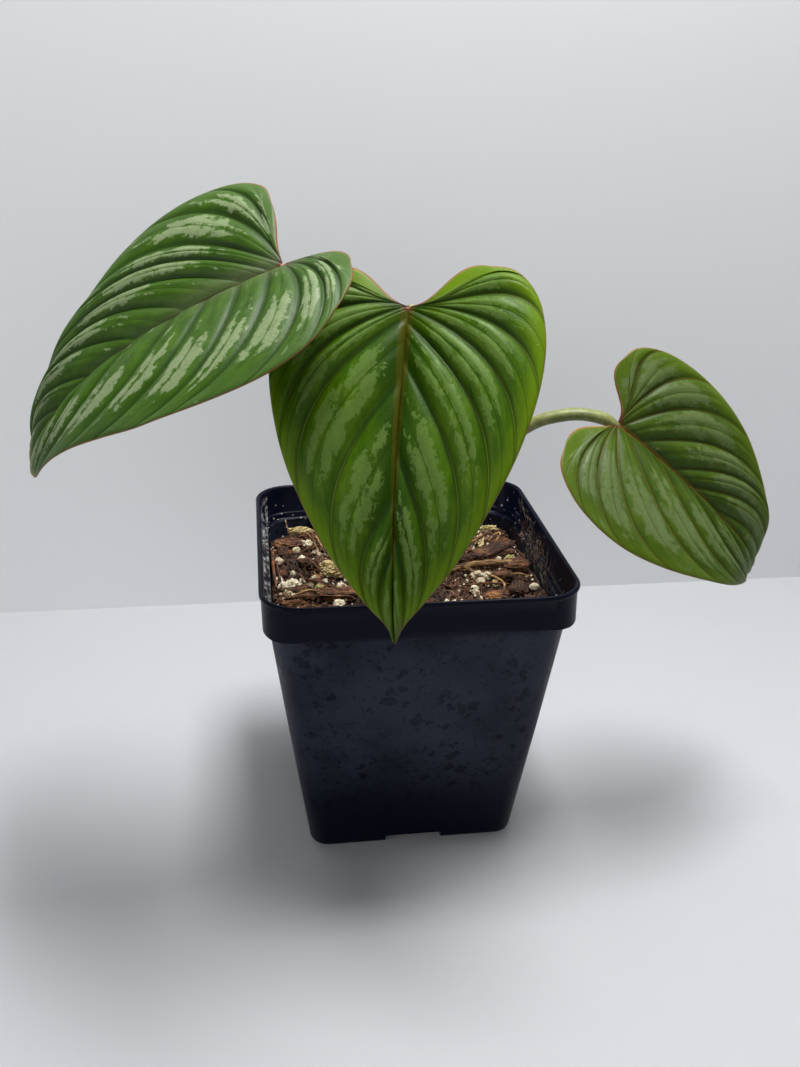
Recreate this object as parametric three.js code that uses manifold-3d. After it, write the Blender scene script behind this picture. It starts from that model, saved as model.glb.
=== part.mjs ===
// A potted young philodendron mamei: three silver-marked heart leaves on arched petioles, which
// rise from a short creeping stem in a bark and perlite mix, in a square black nursery pot.
// Millimetres, +Z up. The origin is the middle of the pot's underside, and +Y points backwards.
import * as THREE from "three";
import { mergeVertices } from "three/addons/utils/BufferGeometryUtils.js";
import Module from "manifold-3d";

const wasm = await Module();
wasm.setup();

// Driving dimensions: the pot is a thin-walled 4 1/4 inch square nursery pot.
const GAP = 0.3; // between pieces that touch on the real plant
const POT_HEIGHT = 108.9;
const POT_HALF = 54; // outside the lip
const POT_CORNER = 13.6;
const BASE_HALF = 38.3;
const BASE_CORNER = 7;
const BODY_HALF = 51.2; // just under the collar
const BODY_CORNER = 13.6;
const COLLAR_HALF = 53.1;
const COLLAR_CORNER = 11;
const COLLAR_HEIGHT = 14.2;
const COLLAR_ARCH = 2.2; // how much shorter the collar is in the middle of each side
const COLLAR_STEP = 0.5; // height of the step under the collar
const LIP_HEIGHT = 1.7;
const WALL = 1.2;
const FLOOR = 1.8;
const CORNER_POINTS = 7;
const SIDE_STEPS = 6;

// Each side of the pot's foot has a drain channel, with a slot in its roof.
const CHANNEL_WIDTH = 21;
const CHANNEL_DEPTH = 12;
const CHANNEL_HEIGHT = 3;
const SLOT_LENGTH = 9;
const SLOT_WIDTH = 4.5;

const SOIL_TOP = 90.7;
const SOIL_RINGS = 7;
const BARK_CHIPS = 46;
const PERLITE_BEADS = 32;
const BARK_STICKS = 12;
const FINEST_DETAIL = 0.05; // edges shorter than this are merged away in the mix

const STEM_RADIUS = 5.4;
const STEM_CLEARANCE = 0.65; // of the hole in the mix that holds it
const PETIOLE_RADIUS = 2.4;
const PETIOLE_FOOT_RADIUS = 3;
const BOSS_REACH = 7; // from the stem's axis to the seat of a petiole
const HUB_DEPTH = 1.5; // the veins' meeting point under a blade
const BLADE_THICKNESS = 0.8;
const RIB_HEIGHT = 1.5; // of the largest rib between two sunken veins

const SEED = 20417;

// The blade's right half from the back of the lobe to the tip, as shares of the midrib's length:
// across the blade, then along the midrib from the petiole.
const HEART = [
  [0.22, -0.13],
  [0.305, -0.11],
  [0.37, -0.03],
  [0.403, 0.09],
  [0.4, 0.235],
  [0.358, 0.4],
  [0.288, 0.56],
  [0.195, 0.727],
  [0.1, 0.86],
  [0.03, 0.95],
  [0, 1],
];
// The left leaf is uneven: its far lobe is shallow, its near lobe is deep, and its tip is broad.
const SHALLOW_HALF = [
  [0.205, -0.026],
  [0.28, -0.022],
  [0.335, 0.035],
  [0.358, 0.126],
  [0.352, 0.256],
  [0.31, 0.408],
  [0.235, 0.56],
  [0.166, 0.724],
  [0.115, 0.87],
  [0.06, 0.955],
  [0, 1],
];
const DEEP_HALF = [
  [0.12, -0.163],
  [0.2, -0.152],
  [0.275, -0.1],
  [0.35, -0.015],
  [0.394, 0.102],
  [0.399, 0.246],
  [0.361, 0.409],
  [0.287, 0.563],
  [0.202, 0.732],
  [0.13, 0.87],
  [0.062, 0.955],
  [0, 1],
];

// Seven sunken veins in each half part eight ribs. From the tip backwards, with the tip and the
// sinus edge as the first and last: where each leaves the midrib, its heading there in degrees
// from the midrib, and where it reaches the margin, in shares of the midrib's length.
const VEIN_START = [1, 0.69, 0.49, 0.195, 0.055, 0, 0, 0, 0];
const VEIN_HEADING = [30, 36, 42, 46, 50];
const BASAL_SPREAD = [0.26, 0.58, 0.86, 1]; // of the way from the last of those to the sinus edge
const VEIN_END = [1, 0.965, 0.92, 0.84, 0.74, 0.61, 0.44, 0.2, -0.13];
const LAST_RIB = 7 / 8;
const ROWS_PER_RIB = 3;
const ROWS_IN_LAST_RIB = 8; // it borders the whole lobe
const COLUMNS = [0, 0.04, 0.12, 0.24, 0.39, 0.55, 0.72, 0.88, 1];

// Each leaf: where the petiole meets it, the midrib's heading from +X and droop below level, the
// twist about it, all in degrees, its length, how the midrib curls down from base to tip, how the
// halves fold up and curl down, and the two halves, left first, seen from above with the tip ahead.
const LEAVES = {
  left: {
    base: [-43, -35, 212.7],
    heading: 177.8,
    droop: 23.3,
    twist: -28.6,
    length: 115.6,
    curl: { bend: 52.5, power: 1.74, lobes: -5, tip: 6.5 },
    fold: 12,
    arch: -0.0041,
    halves: [
      { edge: SHALLOW_HALF, sinus: 85 },
      { edge: DEEP_HALF, sinus: 172 },
    ],
    wave: 0.5,
    colour: 0x4a7a35,
    arrival: "below",
    boss: [-0.85, 0.3, 0.5],
    bossAt: 0.42,
    route: [
      [-15, 5, 115.9],
      [-27, 2, 139.9],
      [-39, -7, 167.9],
      [-48, -19, 190.9],
      [-46.5, -27.5, 203.9],
    ],
  },
  centre: {
    base: [-6.6, -40, 201.3],
    heading: -105,
    droop: 53.7,
    twist: 6,
    length: 103,
    curl: { bend: 38, power: 1.56, lobes: 4, tip: 1 },
    fold: 10.5,
    arch: -0.0053,
    halves: [
      { edge: shaped(HEART, 0.97, 0.85), sinus: 100 },
      { edge: shaped(HEART, 1, 0.86), sinus: 85 },
    ],
    wave: 0.4,
    colour: 0x4f8420,
    arrival: "below",
    boss: [-0.1, 0.15, 0.98],
    bossAt: 0.8,
    route: [
      [1, -7, 131.9],
      [1, -13, 161.9],
      [0, -23, 184.9],
    ],
  },
  right: {
    base: [73, -10, 152.9],
    heading: -15.3,
    droop: 36.7,
    twist: 46.4,
    length: 92,
    curl: { bend: 34.3, power: 1.8, lobes: 0.5, tip: 46 },
    fold: 17.4,
    arch: -0.0035,
    halves: [
      { edge: shaped(HEART, 1.147, 1.14), sinus: 120 },
      { edge: shaped(HEART, 0.9, 1.06), sinus: 87 },
    ],
    wave: 0.4,
    colour: 0x5a7d38,
    arrival: "behind",
    boss: [0.75, 0, 0.66],
    bossAt: 0.3,
    route: [
      [22, 8, 119.9],
      [33, 3, 139.9],
      [45.2, -2, 151.5],
      [52.9, -4, 154.4],
      [59.9, -6, 155.6],
    ],
  },
};

// The creeping stem's axis, from its buried end to the growing tip.
const STEM_AXIS = [
  [9, 18, 80.9],
  [6, 11, 87.9],
  [3, 4, 92.4],
  [1, -3, 95.4],
  [0, -9, 97.9],
];

const UP = new THREE.Vector3(0, 0, 1);
const rad = THREE.MathUtils.degToRad;

// A heart half made wider, with deeper or shallower lobes.
function shaped(edge, width, lobes) {
  return edge.map(([u, v]) => [u * width, v < 0 ? v * lobes : v]);
}

// A repeatable random number from 0 to 1.
function seeded(seed) {
  let state = seed;
  return () => {
    state = (state * 16807) % 2147483647;
    return state / 2147483647;
  };
}

// A geometry from points and triangles that share them.
function geometryOf(points, triangles) {
  const flat = new Float32Array(points.flatMap((p) => [p.x, p.y, p.z]));
  return new THREE.BufferGeometry()
    .setAttribute("position", new THREE.BufferAttribute(flat, 3))
    .setIndex(triangles.flat());
}

function toSolid(geometry) {
  const bare = geometry.clone();
  bare.deleteAttribute("normal");
  bare.deleteAttribute("uv");
  const merged = mergeVertices(bare, 1e-4);
  return new wasm.Manifold(
    new wasm.Mesh({
      numProp: 3,
      vertProperties: merged.attributes.position.array,
      triVerts: new Uint32Array(merged.index.array),
    }),
  );
}

function toGeometry(solid) {
  const mesh = solid.getMesh();
  return new THREE.BufferGeometry()
    .setAttribute("position", new THREE.BufferAttribute(mesh.vertProperties, 3))
    .setIndex(new THREE.BufferAttribute(mesh.triVerts, 1));
}

function largestBody(solid) {
  return solid.decompose().reduce((a, b) => (a.volume() > b.volume() ? a : b));
}

// A square with round corners at one height, anticlockwise from above.
function roundedSquare(z, half, radius) {
  const flat = half - radius;
  const points = [];
  for (let corner = 0; corner < 4; corner++) {
    const add = (x, y) =>
      points.push(new THREE.Vector3(x, y, z).applyAxisAngle(UP, (corner * Math.PI) / 2));
    for (let i = 0; i < CORNER_POINTS; i++) {
      const angle = ((i / (CORNER_POINTS - 1)) * Math.PI) / 2;
      add(flat + radius * Math.cos(angle), flat + radius * Math.sin(angle));
    }
    for (let i = 1; i < SIDE_STEPS; i++) add(flat - (2 * flat * i) / SIDE_STEPS, half);
  }
  return points;
}

// The collar's lower edge arches up a little along each side.
function arched(ring) {
  return ring.map((p) => {
    const along = Math.min(Math.abs(p.x), Math.abs(p.y)) / COLLAR_HALF;
    return p.setZ(p.z + COLLAR_ARCH * (1 - along ** 2));
  });
}

// A closed solid through rings of equally many points, from the bottom up.
function loft(rings) {
  const n = rings[0].length;
  const points = rings.flat();
  const triangles = [];
  for (let r = 0; r + 1 < rings.length; r++)
    for (let i = 0; i < n; i++) {
      const a = r * n + i;
      const b = r * n + ((i + 1) % n);
      triangles.push([a, b, b + n], [a, b + n, a + n]);
    }
  const cap = (ring, first, facesUp) => {
    const middle = ring.reduce((sum, p) => sum.add(p), new THREE.Vector3()).divideScalar(n);
    points.push(middle);
    const m = points.length - 1;
    for (let i = 0; i < n; i++) {
      const a = first + i;
      const b = first + ((i + 1) % n);
      triangles.push(facesUp ? [m, a, b] : [m, b, a]);
    }
  };
  cap(rings[0], 0, false);
  cap(rings[rings.length - 1], (rings.length - 1) * n, true);
  return geometryOf(points, triangles);
}

// A closed tube along a curve, with a radius that varies along it.
function sweep(curve, radiusAt, steps, sides) {
  const frames = curve.computeFrenetFrames(steps, false);
  const rings = [];
  for (let i = 0; i <= steps; i++) {
    const centre = curve.getPointAt(i / steps);
    const radius = radiusAt(i / steps);
    const ring = [];
    for (let k = 0; k < sides; k++) {
      const angle = (k / sides) * 2 * Math.PI;
      ring.push(
        centre
          .clone()
          .addScaledVector(frames.normals[i], radius * Math.cos(angle))
          .addScaledVector(frames.binormals[i], radius * Math.sin(angle)),
      );
    }
    rings.push(ring);
  }
  return loft(rings);
}

function block(width, depth, height, x, y, z) {
  return toSolid(new THREE.BoxGeometry(width, depth, height).translate(x, y, z));
}

function curveThrough(points) {
  const vectors = points.map((p) => (p.isVector3 ? p : new THREE.Vector3(...p)));
  return new THREE.CatmullRomCurve3(vectors, false, "centripetal");
}

// The four sides' copies of a solid made for the front.
function onEachSide(solid) {
  return [0, 90, 180, 270].map((turn) => solid.rotate([0, 0, turn]));
}

const LEDGE = POT_HEIGHT - COLLAR_HEIGHT + COLLAR_ARCH + COLLAR_STEP + WALL;

// The pot's inside below its collar, drawn in by a clearance.
function bodyInside(bottom, clearance, top = LEDGE - 0.4) {
  const grow = (BODY_HALF - BASE_HALF) / (POT_HEIGHT - COLLAR_HEIGHT);
  const inset = WALL + clearance;
  return [
    roundedSquare(bottom, BASE_HALF + bottom * grow - inset, BASE_CORNER - inset),
    roundedSquare(top, BASE_HALF + top * grow - inset, BODY_CORNER - inset),
  ];
}

// The pot's inside at its collar, which is squarer than the body, so a ledge shows in each corner.
function collarInside(clearance, top) {
  const inset = WALL + clearance;
  return [
    roundedSquare(LEDGE, COLLAR_HALF - inset - 0.1, POT_CORNER - inset),
    roundedSquare(top, COLLAR_HALF - inset + 0.5, POT_CORNER - inset),
  ];
}

function channelRoofs(clearance) {
  const width = CHANNEL_WIDTH + 2 * (WALL + clearance);
  const depth = CHANNEL_DEPTH + WALL + clearance;
  const height = CHANNEL_HEIGHT + FLOOR + clearance;
  return onEachSide(
    block(width, depth + 20, height, 0, depth / 2 - 10 - BASE_HALF, height / 2),
  );
}

function makePot() {
  const step = POT_HEIGHT - COLLAR_HEIGHT;
  const lip = POT_HEIGHT - LIP_HEIGHT;
  const outside = loft([
    roundedSquare(0, BASE_HALF - 0.9, BASE_CORNER - 0.9),
    roundedSquare(1.1, BASE_HALF, BASE_CORNER),
    arched(roundedSquare(step, BODY_HALF, BODY_CORNER)),
    arched(roundedSquare(step + COLLAR_STEP, COLLAR_HALF, COLLAR_CORNER)),
    roundedSquare(lip - 0.3, COLLAR_HALF + 0.3, POT_CORNER),
    roundedSquare(lip + 0.2, POT_HALF - 0.1, POT_CORNER),
    roundedSquare(POT_HEIGHT - 0.8, POT_HALF, POT_CORNER),
    roundedSquare(POT_HEIGHT, POT_HALF - 0.5, POT_CORNER - 0.4),
  ]);
  const inside = loft([...bodyInside(FLOOR, 0), ...collarInside(0, POT_HEIGHT + 1)]);
  let hollow = toSolid(inside);
  for (const roof of channelRoofs(0)) hollow = hollow.subtract(roof);
  let pot = toSolid(outside).subtract(hollow);
  const channel = block(
    CHANNEL_WIDTH,
    CHANNEL_DEPTH + 10,
    2 * CHANNEL_HEIGHT,
    0,
    CHANNEL_DEPTH / 2 - 5 - BASE_HALF,
    0,
  );
  const end = SLOT_WIDTH / 2;
  const straight = (SLOT_LENGTH - SLOT_WIDTH) / 2;
  const outline = new THREE.Shape()
    .moveTo(-straight, -end)
    .lineTo(straight, -end)
    .absarc(straight, 0, end, -Math.PI / 2, Math.PI / 2)
    .lineTo(-straight, end)
    .absarc(-straight, 0, end, Math.PI / 2, (3 * Math.PI) / 2);
  const slot = toSolid(
    new THREE.ExtrudeGeometry(outline, { depth: 8, bevelEnabled: false, curveSegments: 4 })
      .translate(0, CHANNEL_DEPTH / 2 - BASE_HALF, 0),
  );
  for (const cutter of [...onEachSide(channel), ...onEachSide(slot)])
    pot = pot.subtract(cutter);
  return toGeometry(largestBody(pot));
}

// The mix's surface: gently uneven, a little lower along the walls.
function soilHeight(x, y) {
  const edge = Math.max(Math.abs(x), Math.abs(y)) / BODY_HALF;
  const waves = Math.sin(x * 0.21 + 1.3) * Math.cos(y * 0.17 - 0.4) + Math.sin((x - y) * 0.37);
  return SOIL_TOP + 0.7 * waves - 1.2 * edge ** 4;
}

// A random share from a least value to 1.
function atLeast(least, random) {
  return least + (1 - least) * random();
}

// A rough bark chip: a slab with no two corners alike.
function barkChip(random, length, width, thickness) {
  const chip = new THREE.BoxGeometry(length, width, thickness);
  const at = chip.attributes.position;
  const corner = new THREE.Vector3();
  const shares = new Map();
  for (let i = 0; i < at.count; i++) {
    corner.fromBufferAttribute(at, i);
    const key = corner.toArray().map(Math.sign).join();
    if (!shares.has(key))
      shares.set(key, new THREE.Vector3(...[0.7, 0.55, 0.6].map((least) => atLeast(least, random))));
    at.setXYZ(i, ...corner.multiply(shares.get(key)));
  }
  return chip;
}

function perliteBead(random, radius) {
  const bead = new THREE.IcosahedronGeometry(radius, 0);
  return bead.scale(...[0.65, 0.65, 0.55].map((least) => 1.2 * atLeast(least, random)));
}

// A turned and tilted copy of a piece, sunk into the surface at a random place.
function scattered(random, piece, tilt, sink) {
  const reach = BODY_HALF - 4;
  const x = (2 * random() - 1) * reach;
  const y = (2 * random() - 1) * reach;
  const turn = new THREE.Euler(tilt * (2 * random() - 1), tilt * (2 * random() - 1), random() * 7);
  const matrix = new THREE.Matrix4().makeRotationFromEuler(turn);
  piece.applyMatrix4(matrix).translate(x, y, soilHeight(x, y) - sink);
  return toSolid(piece);
}

function makeSoil(stemHole) {
  const random = seeded(SEED);
  const rings = bodyInside(FLOOR + GAP, GAP, SOIL_TOP - 1.2);
  const rim = rings[1];
  for (let k = 0; k < SOIL_RINGS; k++) {
    const ring = rim.map((p) => p.clone().multiplyScalar(1 - k / SOIL_RINGS));
    rings.push(ring.map((p) => p.setZ(soilHeight(p.x, p.y))));
  }
  let soil = toSolid(loft(rings));
  for (const roof of channelRoofs(GAP)) soil = soil.subtract(roof);
  const pieces = [];
  for (let i = 0; i < BARK_CHIPS; i++) {
    const length = 5 + 9 * random() ** 1.5;
    const chip = barkChip(random, length, 3 + 3.5 * random(), 2.2 + random());
    pieces.push(scattered(random, chip, 0.45, 0));
  }
  for (let i = 0; i < PERLITE_BEADS; i++)
    pieces.push(scattered(random, perliteBead(random, 1.3 + 1.7 * random() ** 2), 3, -0.3));
  for (let i = 0; i < BARK_STICKS; i++) {
    const stick = new THREE.CylinderGeometry(0.7, 0.9, 12 + 16 * random(), 4);
    pieces.push(scattered(random, stick.rotateZ(Math.PI / 2), 0.08, -0.2));
  }
  const room = toSolid(
    loft([...bodyInside(FLOOR + GAP, 3 * GAP), ...collarInside(3 * GAP, POT_HEIGHT)]),
  );
  const litter = wasm.Manifold.union(pieces).intersect(room);
  const filled = soil.add(litter).subtract(stemHole);
  return toGeometry(largestBody(filled.simplify(FINEST_DETAIL)));
}

const stemCurve = curveThrough(STEM_AXIS);

// Rings of old leaf scars swell the stem, which narrows to its growing tip.
function stemRadius(t) {
  const scar = Math.max(0, Math.cos(t * 9 * 2 * Math.PI)) ** 3;
  const taper = t < 0.7 ? 1 : 1 - 0.75 * ((t - 0.7) / 0.3) ** 1.3;
  return STEM_RADIUS * (0.92 + 0.08 * scar) * taper;
}

// Where a leaf's petiole is seated: on a short boss that leaves the stem along the petiole.
function bossOf(leaf) {
  const root = stemCurve.getPointAt(leaf.bossAt);
  const along = new THREE.Vector3(...leaf.boss).normalize();
  return { root, along, seat: root.clone().addScaledVector(along, BOSS_REACH) };
}

function makeStem() {
  let stem = toSolid(sweep(stemCurve, stemRadius, 27, 10));
  for (const leaf of Object.values(LEAVES)) {
    const { root, seat } = bossOf(leaf);
    const boss = sweep(new THREE.LineCurve3(root, seat), () => PETIOLE_FOOT_RADIUS, 1, 10);
    stem = stem.add(toSolid(boss));
  }
  return toGeometry(stem);
}

// The stem's hole in the mix starts just past its buried end, with a way out for each petiole.
function makeStemHole() {
  const [end, next] = STEM_AXIS.map((p) => new THREE.Vector3(...p));
  const past = end.clone().sub(next).setLength(2 * GAP).add(end);
  const curve = curveThrough([past, ...STEM_AXIS]);
  let hole = toSolid(sweep(curve, () => STEM_RADIUS + STEM_CLEARANCE, 12, 12));
  for (const leaf of Object.values(LEAVES)) {
    const { root, along, seat } = bossOf(leaf);
    const clear = seat.clone().addScaledVector(along, BODY_HALF / 2);
    const way = sweep(new THREE.LineCurve3(root, clear), () => PETIOLE_FOOT_RADIUS + 2 * GAP, 1, 12);
    hole = hole.add(toSolid(way));
  }
  return hole;
}

// The leaf's frame: X along the midrib to the tip, Y across to its right half, Z up from its face.
function leafGroup(leaf) {
  const group = new THREE.Group();
  group.position.set(...leaf.base);
  group.rotation.set(rad(leaf.twist), rad(leaf.droop), rad(leaf.heading), "ZYX");
  group.updateMatrixWorld(true);
  return group;
}

function petioleRadius(t) {
  const foot = Math.max(0, 1 - t / 0.14) ** 2;
  const neck = 0.06 * Math.exp(-(((t - 0.96) / 0.04) ** 2));
  const slim = PETIOLE_RADIUS * (1.08 - 0.14 * t + neck);
  return slim + (PETIOLE_FOOT_RADIUS - slim) * foot;
}

// A petiole from its seat on the stem to the base of its blade. It meets the blade from below, or
// from behind, in the notch between the lobes.
function makePetiole(leaf, group) {
  const { along, seat } = bossOf(leaf);
  const start = seat.clone().addScaledVector(along, GAP);
  const under = BLADE_THICKNESS / 2 + HUB_DEPTH + GAP;
  const ends =
    leaf.arrival === "below"
      ? [new THREE.Vector3(-0.8, 0, -under - 3.5), new THREE.Vector3(0, 0, -under)]
      : [new THREE.Vector3(-5, -0.7, -2), new THREE.Vector3(-1.8, -0.2, -1.6)];
  const points = [
    start,
    start.clone().addScaledVector(along, 2),
    start.clone().addScaledVector(along, 6),
    ...leaf.route.map((p) => new THREE.Vector3(...p)),
    ...ends.map((p) => p.applyMatrix4(group.matrixWorld)),
  ];
  return sweep(curveThrough(points), petioleRadius, 22, 10);
}

// A smooth curve through evenly spaced values, at a share q of the way.
function smooth(values, q) {
  const last = values.length - 1;
  const x = THREE.MathUtils.clamp(q, 0, 1) * last;
  const i = Math.min(Math.floor(x), last - 1);
  const t = x - i;
  const p1 = values[i];
  const p2 = values[i + 1];
  const p0 = i > 0 ? values[i - 1] : 2 * p1 - p2;
  const p3 = i + 2 <= last ? values[i + 2] : 2 * p2 - p1;
  return (
    p1 +
    0.5 * t * (p2 - p0 + t * (2 * p0 - 5 * p1 + 4 * p2 - p3 + t * (3 * (p1 - p2) + p3 - p0)))
  );
}

// Straight-line interpolation in a sorted table.
function lookUp(x, xs, ys) {
  if (x <= xs[0]) return ys[0];
  let i = 1;
  while (i < xs.length - 1 && xs[i] < x) i++;
  const t = Math.min(1, (x - xs[i - 1]) / (xs[i] - xs[i - 1] || 1));
  return ys[i - 1] + t * (ys[i] - ys[i - 1]);
}

// The margin of one half as a finely stepped line, with its length up to each step.
function marginOf(edge) {
  const knots = edge.map(([u, v]) => new THREE.Vector3(u, v, 0));
  const curve = new THREE.CatmullRomCurve3(knots, false, "centripetal");
  const points = curve.getPoints(12 * (edge.length - 1));
  const length = [0];
  for (let i = 1; i < points.length; i++)
    length.push(length[i - 1] + points[i].distanceTo(points[i - 1]));
  return { u: points.map((p) => p.x), v: points.map((p) => p.y), length };
}

// One half's vein at q, 0 at the tip and 1 at the sinus edge, as a curve from midrib to margin.
function veinCurve(half, margin, q) {
  const total = margin.length[margin.length.length - 1];
  const outermost = lookUp(VEIN_END[VEIN_END.length - 2], margin.v, margin.length);
  const inLast = Math.max(0, (q - LAST_RIB) / (1 - LAST_RIB));
  const reach =
    inLast > 0 ? outermost * (1 - inLast) : lookUp(smooth(VEIN_END, q), margin.v, margin.length);
  const on = (s) =>
    new THREE.Vector3(lookUp(s, margin.length, margin.u), lookUp(s, margin.length, margin.v), 0);
  const end = on(reach);
  const side = on(Math.min(total, reach + 0.01 * total)).sub(on(Math.max(0, reach - 0.01 * total)));
  const basal = BASAL_SPREAD.map((f) => VEIN_HEADING[4] + f * (half.sinus - VEIN_HEADING[4]));
  const leaving = rad(smooth([...VEIN_HEADING, ...basal], q));
  const inward = lookUp(inLast, [0, 0.5, 0.75, 1], [16, 38, 46, 0]) * Math.min(1, q / 0.06);
  const arriving = Math.atan2(side.x, side.y) + rad(inward);
  const from = q > 5 / 8 ? 0 : THREE.MathUtils.clamp(smooth(VEIN_START, q), 0, 1);
  const start = new THREE.Vector3(0, from, 0);
  const chord = start.distanceTo(end);
  const heading = (angle) => new THREE.Vector3(Math.sin(angle), Math.cos(angle), 0);
  return new THREE.CubicBezierCurve3(
    start,
    start.clone().addScaledVector(heading(leaving), 0.36 * chord),
    end.clone().addScaledVector(heading(arriving), -0.42 * chord),
    end,
  );
}

// Bends the flat blade: the midrib curls down along its length, and each half folds and arches.
function bender(leaf) {
  const { length, curl } = leaf;
  const steps = 240;
  const from = -0.3 * length;
  const pitch = (1.35 * length) / steps;
  const turnAt = (v) => {
    const share = v / length;
    if (share < 0) return rad(curl.lobes) * share;
    const tip = Math.max(0, (share - 0.62) / 0.38) ** 1.5;
    return rad(curl.bend) * share ** curl.power + rad(curl.tip) * tip;
  };
  const places = [];
  const ahead = [0];
  const below = [0];
  for (let i = 0; i <= steps; i++) {
    places.push(from + i * pitch);
    if (i === 0) continue;
    const turn = turnAt(from + (i - 0.5) * pitch);
    ahead.push(ahead[i - 1] + pitch * Math.cos(turn));
    below.push(below[i - 1] + pitch * Math.sin(turn));
  }
  const ahead0 = lookUp(0, places, ahead);
  const below0 = lookUp(0, places, below);
  const fold = rad(leaf.fold);
  const arc = (w) => {
    const end = fold + leaf.arch * w;
    const out = (Math.sin(end) - Math.sin(fold)) / leaf.arch;
    return { out, up: (Math.cos(fold) - Math.cos(end)) / leaf.arch };
  };
  return (u, v, lift) => {
    const turn = turnAt(v);
    const { out, up } = arc(Math.abs(u));
    const raised = up + lift;
    return new THREE.Vector3(
      lookUp(v, places, ahead) - ahead0 + raised * Math.sin(turn),
      Math.sign(u) * out,
      below0 - lookUp(v, places, below) + raised * Math.cos(turn),
    );
  };
}

// How far the face stands up at a point: ribs between the sunken veins, and a slight wave.
function relief(leaf, q, r, side) {
  const rib = Math.abs(Math.sin(8 * Math.PI * q)) ** 0.7;
  const fade = Math.sin(Math.PI * r ** 0.75) ** 0.8;
  const nearTip = Math.min(1, q / 0.12);
  const ripple = Math.sin(21 * q + (side > 0 ? 0.4 : 2.1)) * Math.min(1, 6 * q * (1 - q));
  return RIB_HEIGHT * rib * fade * nearTip * (leaf.length / 110) + leaf.wave * r ** 3 * ripple;
}

// How much thicker the underside is there: the midrib and the hub where the veins meet.
function keel(leaf, u, v) {
  const along = THREE.MathUtils.clamp(v / leaf.length, 0, 1);
  const width = 1.3 + 1.6 * (1 - along);
  const hub = HUB_DEPTH * Math.exp(-((Math.hypot(u, v) / 4) ** 2));
  return Math.max(hub, 1.1 * (1 - along) ** 0.6 * Math.max(0, 1 - Math.abs(u) / width));
}

// The places of the grid's rows across the ribs, from the tip to the sinus edge.
function rowPlaces() {
  const places = [];
  for (let i = 0; i <= 7 * ROWS_PER_RIB; i++) places.push((LAST_RIB * i) / (7 * ROWS_PER_RIB));
  for (let i = 1; i <= ROWS_IN_LAST_RIB; i++)
    places.push(LAST_RIB + ((1 - LAST_RIB) * i) / ROWS_IN_LAST_RIB);
  return places;
}

function makeBlade(leaf) {
  const place = bender(leaf);
  const rows = rowPlaces();
  const middles = [];
  const ids = new Map();
  const faces = [];
  leaf.halves.forEach((half, h) => {
    const side = h === 0 ? -1 : 1;
    const margin = marginOf(half.edge);
    const grid = [];
    for (const q of rows) {
      const vein = veinCurve(half, margin, q);
      grid.push(
        COLUMNS.map((r) => {
          const p = vein.getPoint(r).multiplyScalar(leaf.length);
          const key = p.x.toFixed(3) + " " + side * (p.x > 5e-4 ? 1 : 0) + " " + p.y.toFixed(3);
          if (!ids.has(key)) {
            ids.set(key, middles.length);
            middles.push({ u: side * p.x, v: p.y, lift: relief(leaf, q, r, side) });
          }
          return ids.get(key);
        }),
      );
    }
    for (let i = 0; i + 1 < rows.length; i++)
      for (let j = 0; j + 1 < COLUMNS.length; j++) {
        const [a, b, c, d] = [grid[i][j], grid[i][j + 1], grid[i + 1][j + 1], grid[i + 1][j]];
        for (const face of [[a, b, c], [a, c, d]])
          if (new Set(face).size === 3) faces.push(side > 0 ? face : [face[0], face[2], face[1]]);
      }
  });
  const count = middles.length;
  const above = middles.map(({ u, v, lift }) => place(u, v, lift + BLADE_THICKNESS / 2));
  const below = middles.map(({ u, v, lift }) =>
    place(u, v, lift - BLADE_THICKNESS / 2 - keel(leaf, u, v)),
  );
  const triangles = faces.flatMap(([a, b, c]) => [[a, b, c], [a + count, c + count, b + count]]);
  const open = new Set(faces.flatMap(([a, b, c]) => [a + " " + b, b + " " + c, c + " " + a]));
  for (const edge of open) {
    const [a, b] = edge.split(" ").map(Number);
    if (!open.has(b + " " + a)) triangles.push([b, a, a + count], [b, a + count, b + count]);
  }
  return geometryOf([...above, ...below], triangles);
}

function piece(name, geometry, colour, roughness) {
  const material = new THREE.MeshStandardMaterial({ color: colour, roughness, metalness: 0 });
  const mesh = new THREE.Mesh(geometry, material);
  mesh.name = name;
  return mesh;
}

const plant = new THREE.Group();
plant.add(piece("pot", makePot(), 0x14161c, 0.4));
plant.add(piece("potting_mix", makeSoil(makeStemHole()), 0x4a2f22, 0.95));
plant.add(piece("stem", makeStem(), 0x6d7440, 0.7));
for (const [name, leaf] of Object.entries(LEAVES)) {
  const group = leafGroup(leaf);
  group.add(piece("blade_" + name, makeBlade(leaf), leaf.colour, 0.4));
  plant.add(group);
  plant.add(piece("petiole_" + name, makePetiole(leaf, group), 0x8f9f58, 0.5));
}

export default plant;
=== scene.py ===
"""A potted young philodendron mamei: the looks of its pot, mix, stem, petioles and blades."""
import math
import random

import bmesh
import bpy
import numpy as np
from mathutils import Matrix, Vector, noise


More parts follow.
